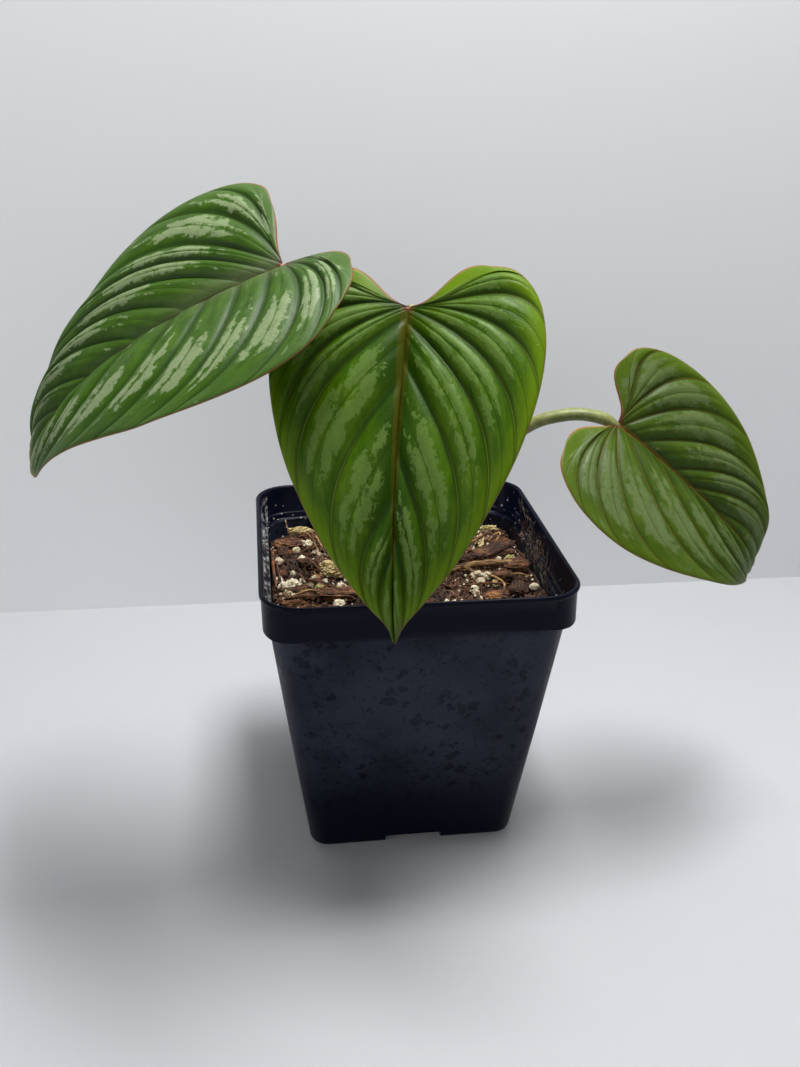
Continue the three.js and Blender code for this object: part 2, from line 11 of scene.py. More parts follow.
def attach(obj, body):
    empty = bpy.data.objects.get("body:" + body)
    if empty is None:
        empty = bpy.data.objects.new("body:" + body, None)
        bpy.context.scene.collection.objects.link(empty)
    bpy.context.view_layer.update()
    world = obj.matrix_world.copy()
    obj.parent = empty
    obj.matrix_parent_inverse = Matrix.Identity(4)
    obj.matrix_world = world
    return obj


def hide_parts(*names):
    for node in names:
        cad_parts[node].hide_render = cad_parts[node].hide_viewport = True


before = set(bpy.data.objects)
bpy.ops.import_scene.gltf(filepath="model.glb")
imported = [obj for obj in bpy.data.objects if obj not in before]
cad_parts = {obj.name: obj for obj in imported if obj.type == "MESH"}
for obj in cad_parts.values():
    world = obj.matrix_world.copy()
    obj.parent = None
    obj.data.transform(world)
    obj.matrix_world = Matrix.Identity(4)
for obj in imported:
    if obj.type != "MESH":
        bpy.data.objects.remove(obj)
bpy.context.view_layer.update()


# The view: a hand-held camera just left of the plant, which looks down at it a little.
CAMERA_PLACE = (-0.0521, -0.348, 0.2669)
CAMERA_YAW = 0.1433
CAMERA_PITCH = 0.4211
CAMERA_ROLL = 0.0211
CAMERA_LENS = 35.4

camera = bpy.data.objects.new("camera", bpy.data.cameras.new("camera"))
camera.data.lens = CAMERA_LENS
camera.data.clip_start = 0.01
camera.matrix_world = (
    Matrix.Translation(CAMERA_PLACE)
    @ Matrix.Rotation(-CAMERA_YAW, 4, "Z")
    @ Matrix.Rotation(math.pi / 2 - CAMERA_PITCH, 4, "X")
    @ Matrix.Rotation(CAMERA_ROLL, 4, "Z")
)
bpy.context.scene.collection.objects.link(camera)
bpy.context.scene.camera = camera


# The pot: a thin square nursery pot, moulded in black plastic. Its collar stands a little proud of
# the body, with a rolled lip above and a step inside, and a drain channel crosses the foot on each
# side. Water has dried on it in dull blots and dots, and left lime inside the collar.
MM = 0.001
POT_HEIGHT = 108.9
POT_HALF = 54.0
LIP_CORNER = 13.6
BASE_HALF = 38.3
BASE_CORNER = 7.0
BODY_HALF = 51.2
COLLAR_HALF = 53.1
COLLAR_CORNER = 11.0
COLLAR_HEIGHT = 14.2
COLLAR_ARCH = 2.2
COLLAR_FOOT = POT_HEIGHT - COLLAR_HEIGHT
POT_WALL = 0.95
POT_FLOOR = 1.8
CHANNEL_WIDTH = 21.0
CHANNEL_LENGTH = 12.0
CHANNEL_DEPTH = 3.0
SLOT_WIDTH = 9.0
SLOT_LENGTH = 4.5
PLASTIC_BLACK = (0.002, 0.003, 0.0105)
DUST_AND_REFLECTION_GREY = (0.027, 0.0325, 0.049)
LIME_WHITE = (0.4, 0.4, 0.38)


class NodeMaker:
    """Adds nodes to one tree. A value given for a socket is a number, a colour or another socket."""

    def __init__(self, tree):
        self.tree = tree

    def put(self, socket, value):
        if isinstance(value, bpy.types.NodeSocket):
            self.tree.links.new(value, socket)
        elif socket.type == "RGBA" and len(value) == 3:
            socket.default_value = (*value, 1)
        else:
            socket.default_value = value

    def add(self, kind, inputs=None, **settings):
        node = self.tree.nodes.new(kind)
        for name, value in settings.items():
            setattr(node, name, value)
        for name, value in (inputs or {}).items():
            self.put(node.inputs[name], value)
        return node

    def math(self, operation, *values, clamp=False):
        node = self.add("ShaderNodeMath", operation=operation, use_clamp=clamp)
        for socket, value in zip(node.inputs, values):
            self.put(socket, value)
        return node.outputs[0]

    def inverse(self, value):
        return self.math("SUBTRACT", 1.0, value)

    def step(self, value, low, high):
        """0 below low and 1 above high, with a smooth change between them."""
        wants = {"Value": value, "From Min": low, "From Max": high}
        return self.add("ShaderNodeMapRange", wants, interpolation_type="SMOOTHSTEP").outputs[0]

    def mix(self, share, first, second, blend="MIX"):
        node = self.add("ShaderNodeMix", data_type="RGBA", blend_type=blend)
        self.put(node.inputs[0], share)
        self.put(node.inputs[6], first)
        self.put(node.inputs[7], second)
        return node.outputs[2]

    def noise(self, vector, scale, detail=3.0, roughness=0.55):
        wants = {"Vector": vector, "Scale": scale, "Detail": detail, "Roughness": roughness}
        return self.add("ShaderNodeTexNoise", wants).outputs["Fac"]

    def scaled(self, vector, scale, move=(0, 0, 0)):
        wants = {"Vector": vector, "Scale": scale, "Location": move}
        return self.add("ShaderNodeMapping", wants).outputs[0]

    def object_place(self):
        return self.add("ShaderNodeTexCoord").outputs["Object"]

    def bump(self, height, strength, distance):
        wants = {"Height": height, "Strength": strength, "Distance": distance}
        return self.add("ShaderNodeBump", wants).outputs[0]


def new_material(name):
    """An empty material, and the maker for its nodes."""
    material = bpy.data.materials.new(name)
    material.use_nodes = True
    material.node_tree.nodes.clear()
    return material, NodeMaker(material.node_tree)


def finish_material(make, shader):
    output = make.add("ShaderNodeOutputMaterial")
    make.tree.links.new(shader, output.inputs["Surface"])


def link_mesh(name, mesh):
    thing = bpy.data.objects.new(name, mesh)
    bpy.context.scene.collection.objects.link(thing)
    return thing


def square_ring(z, half, corner, corner_steps=10, side_steps=12):
    """Points round a square with round corners, anticlockwise from above, in millimetres."""
    flat = half - corner
    quarter = []
    for i in range(corner_steps):
        angle = math.pi / 2 * i / (corner_steps - 1)
        quarter.append((flat + corner * math.cos(angle), flat + corner * math.sin(angle)))
    for i in range(1, side_steps):
        quarter.append((flat - 2 * flat * i / side_steps, half))
    points = []
    for x, y in quarter:
        points.append((x, y, z))
    for _ in range(3):
        points += [(-y, x, z) for x, y, z in points[-len(quarter):]]
    return np.array(points)


def arched(ring):
    """The ring raised along each side, as the collar's edge is."""
    along = np.minimum(abs(ring[:, 0]), abs(ring[:, 1])) / COLLAR_HALF
    ring[:, 2] += COLLAR_ARCH * (1 - along**2)
    return ring


def loft_mesh(name, rings):
    """A mesh through rings of equally many points, with a fan over each end."""
    count = len(rings[0])
    verts = [tuple(p * MM) for ring in rings for p in ring]
    faces = []
    for r in range(len(rings) - 1):
        for i in range(count):
            a, b = r * count + i, r * count + (i + 1) % count
            faces.append((a, b, b + count, a + count))
    for ring, first, up in ((rings[0], 0, False), (rings[-1], (len(rings) - 1) * count, True)):
        verts.append(tuple(np.mean(ring, axis=0) * MM))
        middle = len(verts) - 1
        for i in range(count):
            a, b = first + i, first + (i + 1) % count
            faces.append((middle, a, b) if up else (middle, b, a))
    mesh = bpy.data.meshes.new(name)
    mesh.from_pydata(verts, [], faces)
    return mesh


def apply_modifiers(thing):
    """The evaluated mesh takes the place of the mesh and its modifiers."""
    bpy.context.view_layer.update()
    evaluated = thing.evaluated_get(bpy.context.evaluated_depsgraph_get())
    result = bpy.data.meshes.new_from_object(evaluated)
    thing.modifiers.clear()
    thing.data = result
    return thing


def body_half(z):
    """Half the body's width at a height."""
    return BASE_HALF + (BODY_HALF - BASE_HALF) * z / COLLAR_FOOT


def pot_rings():
    """The pot's profile: up the outside, over the lip, down to the step inside, and to the floor."""
    step = COLLAR_FOOT
    body_corner = LIP_CORNER
    inner = COLLAR_HALF - POT_WALL
    ledge = step + 0.5 + POT_WALL
    return [
        square_ring(0, BASE_HALF - 1.4, BASE_CORNER - 1.4),
        square_ring(0.35, BASE_HALF - 0.5, BASE_CORNER - 0.5),
        square_ring(1.3, BASE_HALF, BASE_CORNER),
        square_ring(step / 2, body_half(step / 2), (BASE_CORNER + body_corner) / 2),
        arched(square_ring(step - 0.4, BODY_HALF - 0.05, body_corner)),
        arched(square_ring(step + 0.1, BODY_HALF + 0.25, body_corner)),
        arched(square_ring(step + 0.15, COLLAR_HALF - 0.5, COLLAR_CORNER)),
        arched(square_ring(step + 0.5, COLLAR_HALF, COLLAR_CORNER)),
        square_ring(POT_HEIGHT - 6, COLLAR_HALF + 0.2, LIP_CORNER - 0.8),
        square_ring(POT_HEIGHT - 2.1, COLLAR_HALF + 0.3, LIP_CORNER),
        square_ring(POT_HEIGHT - 1.8, COLLAR_HALF + 0.6, LIP_CORNER),
        square_ring(POT_HEIGHT - 1.3, POT_HALF, LIP_CORNER),
        square_ring(POT_HEIGHT - 0.6, POT_HALF, LIP_CORNER),
        square_ring(POT_HEIGHT - 0.15, POT_HALF - 0.3, LIP_CORNER - 0.2),
        square_ring(POT_HEIGHT, POT_HALF - 0.8, LIP_CORNER - 0.5),
        square_ring(POT_HEIGHT - 0.2, POT_HALF - 1.3, LIP_CORNER - 1),
        square_ring(POT_HEIGHT - 1.0, inner + 0.15, LIP_CORNER - 1.2),
        arched(square_ring(ledge + 1.1, inner - 0.1, COLLAR_CORNER - 0.8)),
        arched(square_ring(ledge + 0.5, inner - 0.5, COLLAR_CORNER - 0.8)),
        arched(square_ring(ledge + 0.4, inner - 1.0, COLLAR_CORNER - 0.8)),
        arched(square_ring(ledge - 0.3, inner - 1.3, COLLAR_CORNER - 0.8)),
        arched(square_ring(ledge - 1.2, inner - 1.35, COLLAR_CORNER - 0.8)),
        arched(square_ring(ledge - 1.5, inner - 1.7, COLLAR_CORNER - 0.9)),
        arched(square_ring(ledge - 1.9, body_half(step) - POT_WALL - 0.35, body_corner - POT_WALL)),
        square_ring(step - 5, body_half(step - 5) - POT_WALL, body_corner - POT_WALL),
        square_ring(POT_FLOOR, body_half(POT_FLOOR) - POT_WALL, BASE_CORNER - POT_WALL),
    ]


def box_cutter(size, place, turn):
    """A box in millimetres, placed and then turned about the pot's axis."""
    cutter = bmesh.new()
    bmesh.ops.create_cube(cutter, size=1)
    bmesh.ops.scale(cutter, vec=Vector(size) * MM, verts=cutter.verts)
    bmesh.ops.translate(cutter, vec=Vector(place) * MM, verts=cutter.verts)
    bmesh.ops.transform(cutter, matrix=turn, verts=cutter.verts)
    mesh = bpy.data.meshes.new("cutter")
    cutter.to_mesh(mesh)
    cutter.free()
    return link_mesh("cutter", mesh)


def make_pot():
    """The pot with a drain channel cut into the foot on each side, and a slot in each channel."""
    pot = link_mesh("nursery_pot", loft_mesh("nursery_pot", pot_rings()))
    past_foot = 10
    channel_size = (CHANNEL_WIDTH, CHANNEL_LENGTH + past_foot, 2 * CHANNEL_DEPTH)
    channel_place = (0, CHANNEL_LENGTH / 2 - BASE_HALF - past_foot / 2, 0)
    slot_size = (SLOT_WIDTH, SLOT_LENGTH, 4 * CHANNEL_DEPTH)
    slot_place = (0, CHANNEL_LENGTH / 2 - BASE_HALF, CHANNEL_DEPTH)
    cutters = []
    for side in range(4):
        turn = Matrix.Rotation(side * math.pi / 2, 4, "Z")
        cutters.append(box_cutter(channel_size, channel_place, turn))
        cutters.append(box_cutter(slot_size, slot_place, turn))
    for cutter in cutters:
        cut = pot.modifiers.new("cut", "BOOLEAN")
        cut.object = cutter
        cut.solver = "EXACT"
    apply_modifiers(pot)
    for cutter in cutters:
        bpy.data.objects.remove(cutter)
    pot.data.shade_smooth()
    pot.data.set_sharp_from_angle(angle=math.radians(50))
    return pot


def water_spots(make, place):
    """Where drops have dried: ragged blots with a darker edge, in patches, and small dots."""
    drift = make.add("ShaderNodeTexNoise", {"Vector": place, "Scale": 380.0, "Detail": 4.0})
    ragged = make.add(
        "ShaderNodeVectorMath",
        {0: drift.outputs["Color"], 1: (0.0058,) * 3, 2: place},
        operation="MULTIPLY_ADD",
    ).outputs[0]
    cells = make.add("ShaderNodeTexVoronoi", {"Vector": ragged, "Scale": 210.0}, feature="F1")
    size = make.math("MULTIPLY", make.noise(place, 90.0, 1.0), 0.6)
    past_edge = make.math("SUBTRACT", cells.outputs["Distance"], size)
    edge = make.inverse(make.step(make.math("ABSOLUTE", past_edge), 0.02, 0.09))
    inside = make.inverse(make.step(past_edge, -0.12, 0.02))
    patches = make.step(make.noise(place, 60.0, 3.0), 0.46, 0.56)
    blot = make.math("MAXIMUM", edge, make.math("MULTIPLY", inside, 0.6))
    blots = make.math("MULTIPLY", blot, patches)
    dots = make.math("MULTIPLY", make.step(make.noise(place, 620.0, 2.0), 0.6, 0.66), 0.6)
    return make.math("MAXIMUM", blots, dots)


def dust_and_painted_reflection(make, place, height):
    """Dust and a painted reflection: cloudy on the body, and gone near the foot and where drops
    dried.
    """
    # The painted reflection is of the lit table; it fades out towards the foot as painted shade, and
    # the collar gets none.
    above_foot = make.step(height, 0.014, 0.056)
    below_collar = make.inverse(make.step(height, 0.0935, 0.0955))
    cloud = make.step(make.noise(place, 28.0, 4.0), 0.2, 0.65)
    dust_and_reflection = make.math("MULTIPLY", make.math("MULTIPLY", above_foot, below_collar), cloud)
    washed = make.math("MULTIPLY", water_spots(make, place), 0.75)
    return make.math("SUBTRACT", dust_and_reflection, washed, clamp=True)


def collar_lime(make, place, height, sideways):
    """Lime on the inside of the collar: specks all round, and a crust along the left wall."""
    outward = make.add("ShaderNodeNewGeometry").outputs["True Normal"]
    level = make.add("ShaderNodeVectorMath", {0: place, 1: (1, 1, 0)}, operation="MULTIPLY")
    facing = make.add(
        "ShaderNodeVectorMath", {0: level.outputs[0], 1: outward}, operation="DOT_PRODUCT"
    )
    facing_in = make.math("LESS_THAN", facing.outputs["Value"], 0.01)
    inside = make.math("MULTIPLY", make.step(height, 0.09, 0.092), facing_in)
    inside = make.math("MULTIPLY", inside, make.math("LESS_THAN", height, 0.107))
    field = make.add("ShaderNodeTexVoronoi", {"Vector": place, "Scale": 520.0}, feature="F1")
    speck = make.inverse(make.step(field.outputs["Distance"], 0.12, 0.24))
    specks = make.math("MULTIPLY", speck, make.step(make.noise(place, 120.0, 2.0), 0.48, 0.56))
    on_left = make.math("LESS_THAN", sideways, -0.0495)
    crust = make.math("MULTIPLY", on_left, make.step(make.noise(place, 240.0, 5.0, 0.7), 0.46, 0.6))
    lime = make.math("MAXIMUM", specks, make.math("MULTIPLY", crust, 0.7))
    return make.math("MULTIPLY", lime, inside)


def pot_plastic():
    """Black plastic: dust and a painted reflection on the body, water spots, lime inside the collar.
    """
    material, make = new_material("black_pot_plastic")
    place = make.object_place()
    parts = make.add("ShaderNodeSeparateXYZ", {"Vector": place}).outputs
    dust_and_reflection = dust_and_painted_reflection(make, place, parts["Z"])
    # The body's grey is partly dust and partly a painted reflection of the lit table.
    colour = make.mix(dust_and_reflection, PLASTIC_BLACK, DUST_AND_REFLECTION_GREY)
    colour = make.mix(collar_lime(make, place, parts["Z"], parts["X"]), colour, LIME_WHITE)
    grain = make.noise(place, 1500.0, 2.0)
    rough = make.math("ADD", 0.3, make.math("MULTIPLY", dust_and_reflection, 0.25))
    rough = make.math("ADD", rough, make.math("MULTIPLY", grain, 0.08))
    wants = {"Base Color": colour, "Roughness": rough, "Normal": make.bump(grain, 0.06, 0.0002)}
    shader = make.add("ShaderNodeBsdfPrincipled", {**wants, "Specular IOR Level": 0.09})
    finish_material(make, shader.outputs[0])
    return material


nursery_pot = make_pot()
nursery_pot.data.materials.append(pot_plastic())
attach(nursery_pot, "root")
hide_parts("pot")


# The bed of potting mix: dark crumbs of peat and coir that fill the pot to just under its collar.
# It is lumpy on top, lower along the walls, and banked up against the front half of the right wall.
MIX_TOP = 90.7
MIX_GAP = 0.3
MIX_RINGS = 74
MIX_WAVE = 0.7
EDGE_DROP = 1.2
BANK_HEIGHT = 3.2
BANK_FOOT = 36
BANK_WIDTH = 14
BANK_END = 28
BANK_END_SLOPE = 16


def mix_height(x, y):
    """The height of the bed at a place, in millimetres."""
    edge = max(abs(x), abs(y)) / BODY_HALF
    waves = math.sin(x * 0.21 + 1.3) * math.cos(y * 0.17 - 0.4) + math.sin((x - y) * 0.37)
    bank = BANK_HEIGHT * max(0, (x - BANK_FOOT) / BANK_WIDTH) ** 2
    bank *= min(1, max(0, (BANK_END - y) / BANK_END_SLOPE))
    return MIX_TOP + MIX_WAVE * waves - EDGE_DROP * edge**4 + bank


def make_mix_bed():
    inset = POT_WALL + MIX_GAP
    rings = []
    for z in (POT_FLOOR + MIX_GAP, 45.0, MIX_TOP - 3.0):
        corner = BASE_CORNER + (LIP_CORNER - BASE_CORNER) * z / MIX_TOP - inset
        rings.append(square_ring(z, body_half(z) - inset, corner, corner_steps=16, side_steps=64))
    rim = rings[-1]
    for k in range(MIX_RINGS):
        share = 1 - (k / MIX_RINGS)
        ring = rim * (share, share, 1)
        for point in ring:
            x, y = point[:2]
            lumps = noise.fractal(Vector((x, y, 0)) * 0.3, 0.8, 2.1, 4)
            crumbs = noise.noise(Vector((x, y, 7)) * 1.1)
            point[2] = mix_height(x, y) - 0.4 + 0.9 * lumps + 0.35 * crumbs
        rings.append(ring)
    bed = link_mesh("mix_bed", loft_mesh("mix_bed", rings))
    bed.data.shade_smooth()
    return bed


def mix_crumb():
    material, make = new_material("dark_mix")
    place = make.object_place()
    shade = make.noise(place, 260.0, 5.0, 0.7)
    patches = make.noise(place, 90.0, 3.0)
    colour = make.mix(make.step(shade, 0.35, 0.7), (0.006, 0.003, 0.0022), (0.075, 0.03, 0.013))
    colour = make.mix(make.step(patches, 0.5, 0.75), colour, (0.125, 0.052, 0.022))
    wants = {"Base Color": colour, "Roughness": 0.85, "Normal": make.bump(shade, 0.7, 0.0012)}
    shader = make.add("ShaderNodeBsdfPrincipled", wants)
    finish_material(make, shader.outputs[0])
    return material


mix_bed = make_mix_bed()
mix_bed.data.materials.append(mix_crumb())
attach(mix_bed, "root")
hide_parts("potting_mix")


# The litter on the bed: bark chips and crumbs, split bark, coir, and beads of expanded perlite. It
# lies loose on the mix. Each kind is strewn over the bed by a rule with a fixed seed.
def mark_grain(lump, offset):
    """Keeps each point's place in its own piece, where X runs along the wood's grain."""
    layer = lump.verts.layers.float_vector.new("grain")
    for vert in lump.verts:
        vert[layer] = vert.co + offset


def crumb_shapes(name, count, radius, rough, flat=1.0, detail=2, long=1.0):
    """A hidden collection of lumps with uneven faces, to be strewn as copies."""
    shapes = bpy.data.collections.new(name)
    draw = random.Random(name)
    for i in range(count):
        lump = bmesh.new()
        bmesh.ops.create_icosphere(lump, subdivisions=detail, radius=radius * MM)
        offset = Vector([draw.uniform(0, 50) for _ in range(3)])
        for vert in lump.verts:
            swell = noise.fractal(vert.co.normalized() * 1.6 + offset, 0.6, 2.0, 3)
            vert.co *= 1 + rough * swell
            vert.co.x *= long
            vert.co.z *= flat
        mark_grain(lump, offset * MM)
        mesh = bpy.data.meshes.new(f"{name}_{i}")
        lump.to_mesh(mesh)
        lump.free()
        shapes.objects.link(bpy.data.objects.new(f"{name}_{i}", mesh))
    return shapes


def splinter_shapes(name, count, length, radius):
    """A hidden collection of bent, tapered splinters with four sides."""
    shapes = bpy.data.collections.new(name)
    draw = random.Random(name)
    steps = 7
    for i in range(count):
        reach = length * draw.uniform(0.6, 1.2)
        bend = draw.uniform(-0.22, 0.22)
        rise = draw.uniform(-0.05, 0.12)
        rings = []
        for k in range(steps):
            t = k / (steps - 1)
            middle = np.array((0, bend * reach * t * t, rise * reach * math.sin(3 * t)))
            width = radius * (0.35 + 0.65 * math.sin(math.pi * (0.1 + 0.85 * t)))
            ring = []
            for side in range(4):
                angle = side * math.pi / 2
                ring.append(middle + (0, width * math.cos(angle), 0.6 * width * math.sin(angle)))
            rings.append(np.array(ring) + ((t - 0.5) * reach, 0, 0))
        mesh = loft_mesh(f"{name}_{i}", rings)
        splinter = bmesh.new()
        splinter.from_mesh(mesh)
        mark_grain(splinter, Vector((0, i, 0)) * MM)
        splinter.to_mesh(mesh)
        splinter.free()
        shapes.objects.link(bpy.data.objects.new(f"{name}_{i}", mesh))
    return shapes


def strewing_tree(name):
    """A tree that strews copies of a collection's shapes over the upper side of a mesh."""
    tree = bpy.data.node_groups.new(name, "GeometryNodeTree")
    for label, kind in (
        ("Geometry", "NodeSocketGeometry"),
        ("Shapes", "NodeSocketCollection"),
        ("Material", "NodeSocketMaterial"),
        ("Density", "NodeSocketFloat"),
        ("Spacing", "NodeSocketFloat"),
        ("Smallest", "NodeSocketFloat"),
        ("Largest", "NodeSocketFloat"),
        ("Tilt", "NodeSocketFloat"),
        ("Lift", "NodeSocketFloat"),
        ("Patchiness", "NodeSocketFloat"),
        ("Reach", "NodeSocketFloat"),
        ("Seed", "NodeSocketInt"),
    ):
        tree.interface.new_socket(label, in_out="INPUT", socket_type=kind)
    tree.interface.new_socket("Geometry", in_out="OUTPUT", socket_type="NodeSocketGeometry")
    make = NodeMaker(tree)
    given = make.add("NodeGroupInput").outputs
    where = make.add("GeometryNodeInputPosition").outputs[0]
    normal = make.add("GeometryNodeInputNormal").outputs[0]
    facing = make.add("ShaderNodeSeparateXYZ", {"Vector": normal}).outputs
    upward = make.math("GREATER_THAN", facing["Z"], 0.3)
    spot = make.add("ShaderNodeSeparateXYZ", {"Vector": where}).outputs
    sideways, back = (make.math("ABSOLUTE", spot[axis]) for axis in ("X", "Y"))
    from_axis = make.math("MAXIMUM", sideways, back)
    clear_of_wall = make.math("LESS_THAN", from_axis, given["Reach"])
    scatter = make.add(
        "GeometryNodeDistributePointsOnFaces",
        {"Mesh": given["Geometry"], "Selection": make.math("MULTIPLY", upward, clear_of_wall)},
        distribute_method="POISSON",
    )
    make.put(scatter.inputs["Distance Min"], given["Spacing"])
    make.put(scatter.inputs["Density Max"], given["Density"])
    make.put(scatter.inputs["Seed"], given["Seed"])
    clumps = make.noise(where, 70.0, 2.0)
    sparse = make.math("MULTIPLY", make.math("SUBTRACT", clumps, 0.5), 5.0)
    thinned = make.math("MULTIPLY", given["Patchiness"], make.math("SUBTRACT", 0.5, sparse))
    kept = make.math("SUBTRACT", 1.0, thinned, clamp=True)
    make.put(scatter.inputs["Density Factor"], kept)

    def drawn(low, high, shift):
        """A value drawn for each copy, from a seed that is shifted for each use."""
        draw = make.add("FunctionNodeRandomValue", data_type="FLOAT")
        make.put(draw.inputs[2], low)
        make.put(draw.inputs[3], high)
        make.put(draw.inputs["Seed"], make.math("ADD", given["Seed"], shift))
        return draw.outputs[1]

    tilt = given["Tilt"]
    down = make.math("MULTIPLY", tilt, -1.0)
    turns = {"X": drawn(down, tilt, 1.0), "Y": drawn(down, tilt, 2.0)}
    turns["Z"] = drawn(0.0, 2 * math.pi, 3.0)
    turn = make.add("ShaderNodeCombineXYZ", turns).outputs[0]
    share = make.math("POWER", drawn(0.0, 1.0, 9.0), 2.0)
    spread = make.math("SUBTRACT", given["Largest"], given["Smallest"])
    scale = make.math("ADD", given["Smallest"], make.math("MULTIPLY", share, spread))
    shapes = make.add(
        "GeometryNodeCollectionInfo",
        {"Collection": given["Shapes"], "Separate Children": True, "Reset Children": True},
    )
    copies = make.add(
        "GeometryNodeInstanceOnPoints",
        {
            "Points": scatter.outputs["Points"],
            "Instance": shapes.outputs[0],
            "Pick Instance": True,
            "Rotation": turn,
            "Scale": scale,
        },
    )
    up = make.add("ShaderNodeCombineXYZ", {"Z": given["Lift"]}).outputs[0]
    lifted = make.add(
        "GeometryNodeTranslateInstances",
        {"Instances": copies.outputs[0], "Translation": up},
    )
    make.put(lifted.inputs["Local Space"], False)
    real = make.add("GeometryNodeRealizeInstances", {"Geometry": lifted.outputs[0]})
    dressed = make.add(
        "GeometryNodeSetMaterial",
        {"Geometry": real.outputs[0], "Material": given["Material"]},
    )
    output = make.add("NodeGroupOutput")
    tree.links.new(dressed.outputs[0], output.inputs[0])
    return tree


def strewn(name, ground, tree, shapes, material, **sizes):
    """One piece that holds all the copies strewn over the ground."""
    piece = link_mesh(name, ground.data.copy())
    piece.data.materials.clear()
    modifier = piece.modifiers.new("strewing", "NODES")
    modifier.node_group = tree
    wants = {"Shapes": shapes, "Material": material, **sizes}
    for item in tree.interface.items_tree:
        if item.in_out == "INPUT" and item.name in wants:
            modifier[item.identifier] = wants[item.name]
    apply_modifiers(piece)
    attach(piece, "root")
    return piece


def bark_material(name, dark, light, tip):
    """Split bark: streaks along each piece's own fibres, and worn patches in the tip colour."""
    material, make = new_material(name)
    place = make.object_place()
    chunks = make.noise(place, 140.0, 2.0)
    fibres = make.add("ShaderNodeAttribute", attribute_name="grain").outputs["Vector"]
    grain = make.noise(make.scaled(fibres, (0.12, 1.0, 1.0)), 1600.0, 4.0, 0.7)
    colour = make.mix(make.step(grain, 0.42, 0.58), dark, light)
    colour = make.mix(make.step(chunks, 0.54, 0.7), colour, tip)
    wants = {"Base Color": colour, "Roughness": 0.8, "Normal": make.bump(grain, 1.0, 0.0012)}
    shader = make.add("ShaderNodeBsdfPrincipled", wants)
    finish_material(make, shader.outputs[0])
    return material


def perlite_material(name, pale, stained):
    """Expanded volcanic glass: chalky and full of tiny pits, stained where algae grow."""
    material, make = new_material(name)
    place = make.object_place()
    pits = make.add("ShaderNodeTexVoronoi", {"Vector": place, "Scale": 1400.0}, feature="F1")
    stain = make.step(make.noise(place, 55.0, 3.0), 0.5, 0.72)
    colour = make.mix(stain, pale, stained)
    dust = make.step(make.noise(place, 700.0, 3.0), 0.62, 0.76)
    colour = make.mix(dust, colour, (0.2, 0.11, 0.06))
    wants = {"Base Color": colour, "Roughness": 0.9}
    wants["Normal"] = make.bump(pits.outputs["Distance"], 0.5, 0.0005)
    shader = make.add("ShaderNodeBsdfPrincipled", wants)
    make.put(shader.inputs["Subsurface Weight"], 0.15)
    make.put(shader.inputs["Subsurface Scale"], 0.0008)
    finish_material(make, shader.outputs[0])
    return material


strewing = strewing_tree("strewing")
red_bark = bark_material(
    "red_bark", (0.012, 0.0045, 0.002), (0.21, 0.075, 0.024), (0.37, 0.17, 0.06)
)
dark_bark = bark_material(
    "dark_bark", (0.004, 0.0018, 0.0012), (0.11, 0.04, 0.014), (0.2, 0.085, 0.032)
)
pale_fibre = bark_material(
    "pale_fibre", (0.1, 0.048, 0.016), (0.46, 0.26, 0.1), (0.62, 0.42, 0.2)
)
perlite_chalk = perlite_material("perlite_chalk", (0.72, 0.64, 0.47), (0.55, 0.43, 0.22))
perlite_algae = perlite_material("perlite_algae", (0.5, 0.4, 0.19), (0.3, 0.36, 0.07))

strewn(
    "mix_crumbs", mix_bed, strewing,
    crumb_shapes("crumb_shapes", 6, 1.0, 0.75, flat=0.75, detail=1, long=1.3), dark_bark,
    Density=700000.0, Spacing=0.0008, Smallest=0.35, Largest=1.15, Tilt=1.2, Lift=0.0003,
    Patchiness=0.3, Reach=0.0485, Seed=4,
)
strewn(
    "bark_crumbs", mix_bed, strewing,
    crumb_shapes("bark_crumb_shapes", 6, 1.0, 0.8, flat=0.5, detail=1, long=1.9), red_bark,
    Density=220000.0, Spacing=0.001, Smallest=0.3, Largest=1.3, Tilt=0.9, Lift=0.0007,
    Patchiness=1.0, Reach=0.0465, Seed=15,
)
strewn(
    "bark_chips", mix_bed, strewing,
    crumb_shapes("chip_shapes", 5, 2.2, 0.55, flat=0.3, detail=3, long=2.3), red_bark,
    Density=16000.0, Spacing=0.007, Smallest=0.4, Largest=1.0, Tilt=0.45, Lift=0.0009,
    Patchiness=1.2, Reach=0.0435, Seed=27,
)
strewn(
    "bark_splinters", mix_bed, strewing,
    splinter_shapes("splinter_shapes", 7, 8.0, 0.26), red_bark,
    Density=130000.0, Spacing=0.0013, Smallest=0.4, Largest=1.3, Tilt=0.3, Lift=0.0011,
    Patchiness=0.6, Reach=0.0435, Seed=31,
)
strewn(
    "coir_fibres", mix_bed, strewing,
    splinter_shapes("fibre_shapes", 7, 9.0, 0.15), pale_fibre,
    Density=170000.0, Spacing=0.001, Smallest=0.3, Largest=1.0, Tilt=0.35, Lift=0.0016,
    Patchiness=1.0, Reach=0.0435, Seed=44,
)
strewn(
    "perlite_beads", mix_bed, strewing,
    crumb_shapes("bead_shapes", 6, 1.0, 0.5, flat=0.9), perlite_chalk,
    Density=36000.0, Spacing=0.002, Smallest=0.4, Largest=1.5, Tilt=3.0, Lift=0.0009,
    Patchiness=1.3, Reach=0.048, Seed=52,
)
strewn(
    "perlite_grit", mix_bed, strewing,
    crumb_shapes("grit_shapes", 5, 0.5, 0.5, flat=0.9, detail=1), perlite_chalk,
    Density=110000.0, Spacing=0.001, Smallest=0.4, Largest=1.3, Tilt=3.0, Lift=0.0013,
    Patchiness=1.2, Reach=0.0485, Seed=66,
)


# The larger litter, laid piece by piece: bark chips, lumps of perlite with algae on some, roots,
# sticks and strips of bark, and the fibres that watering has left on the inside of the right wall.
def lay(name, mesh, material):
    piece = link_mesh(name, mesh)
    piece.data.materials.append(material)
    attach(piece, "root")
    return piece


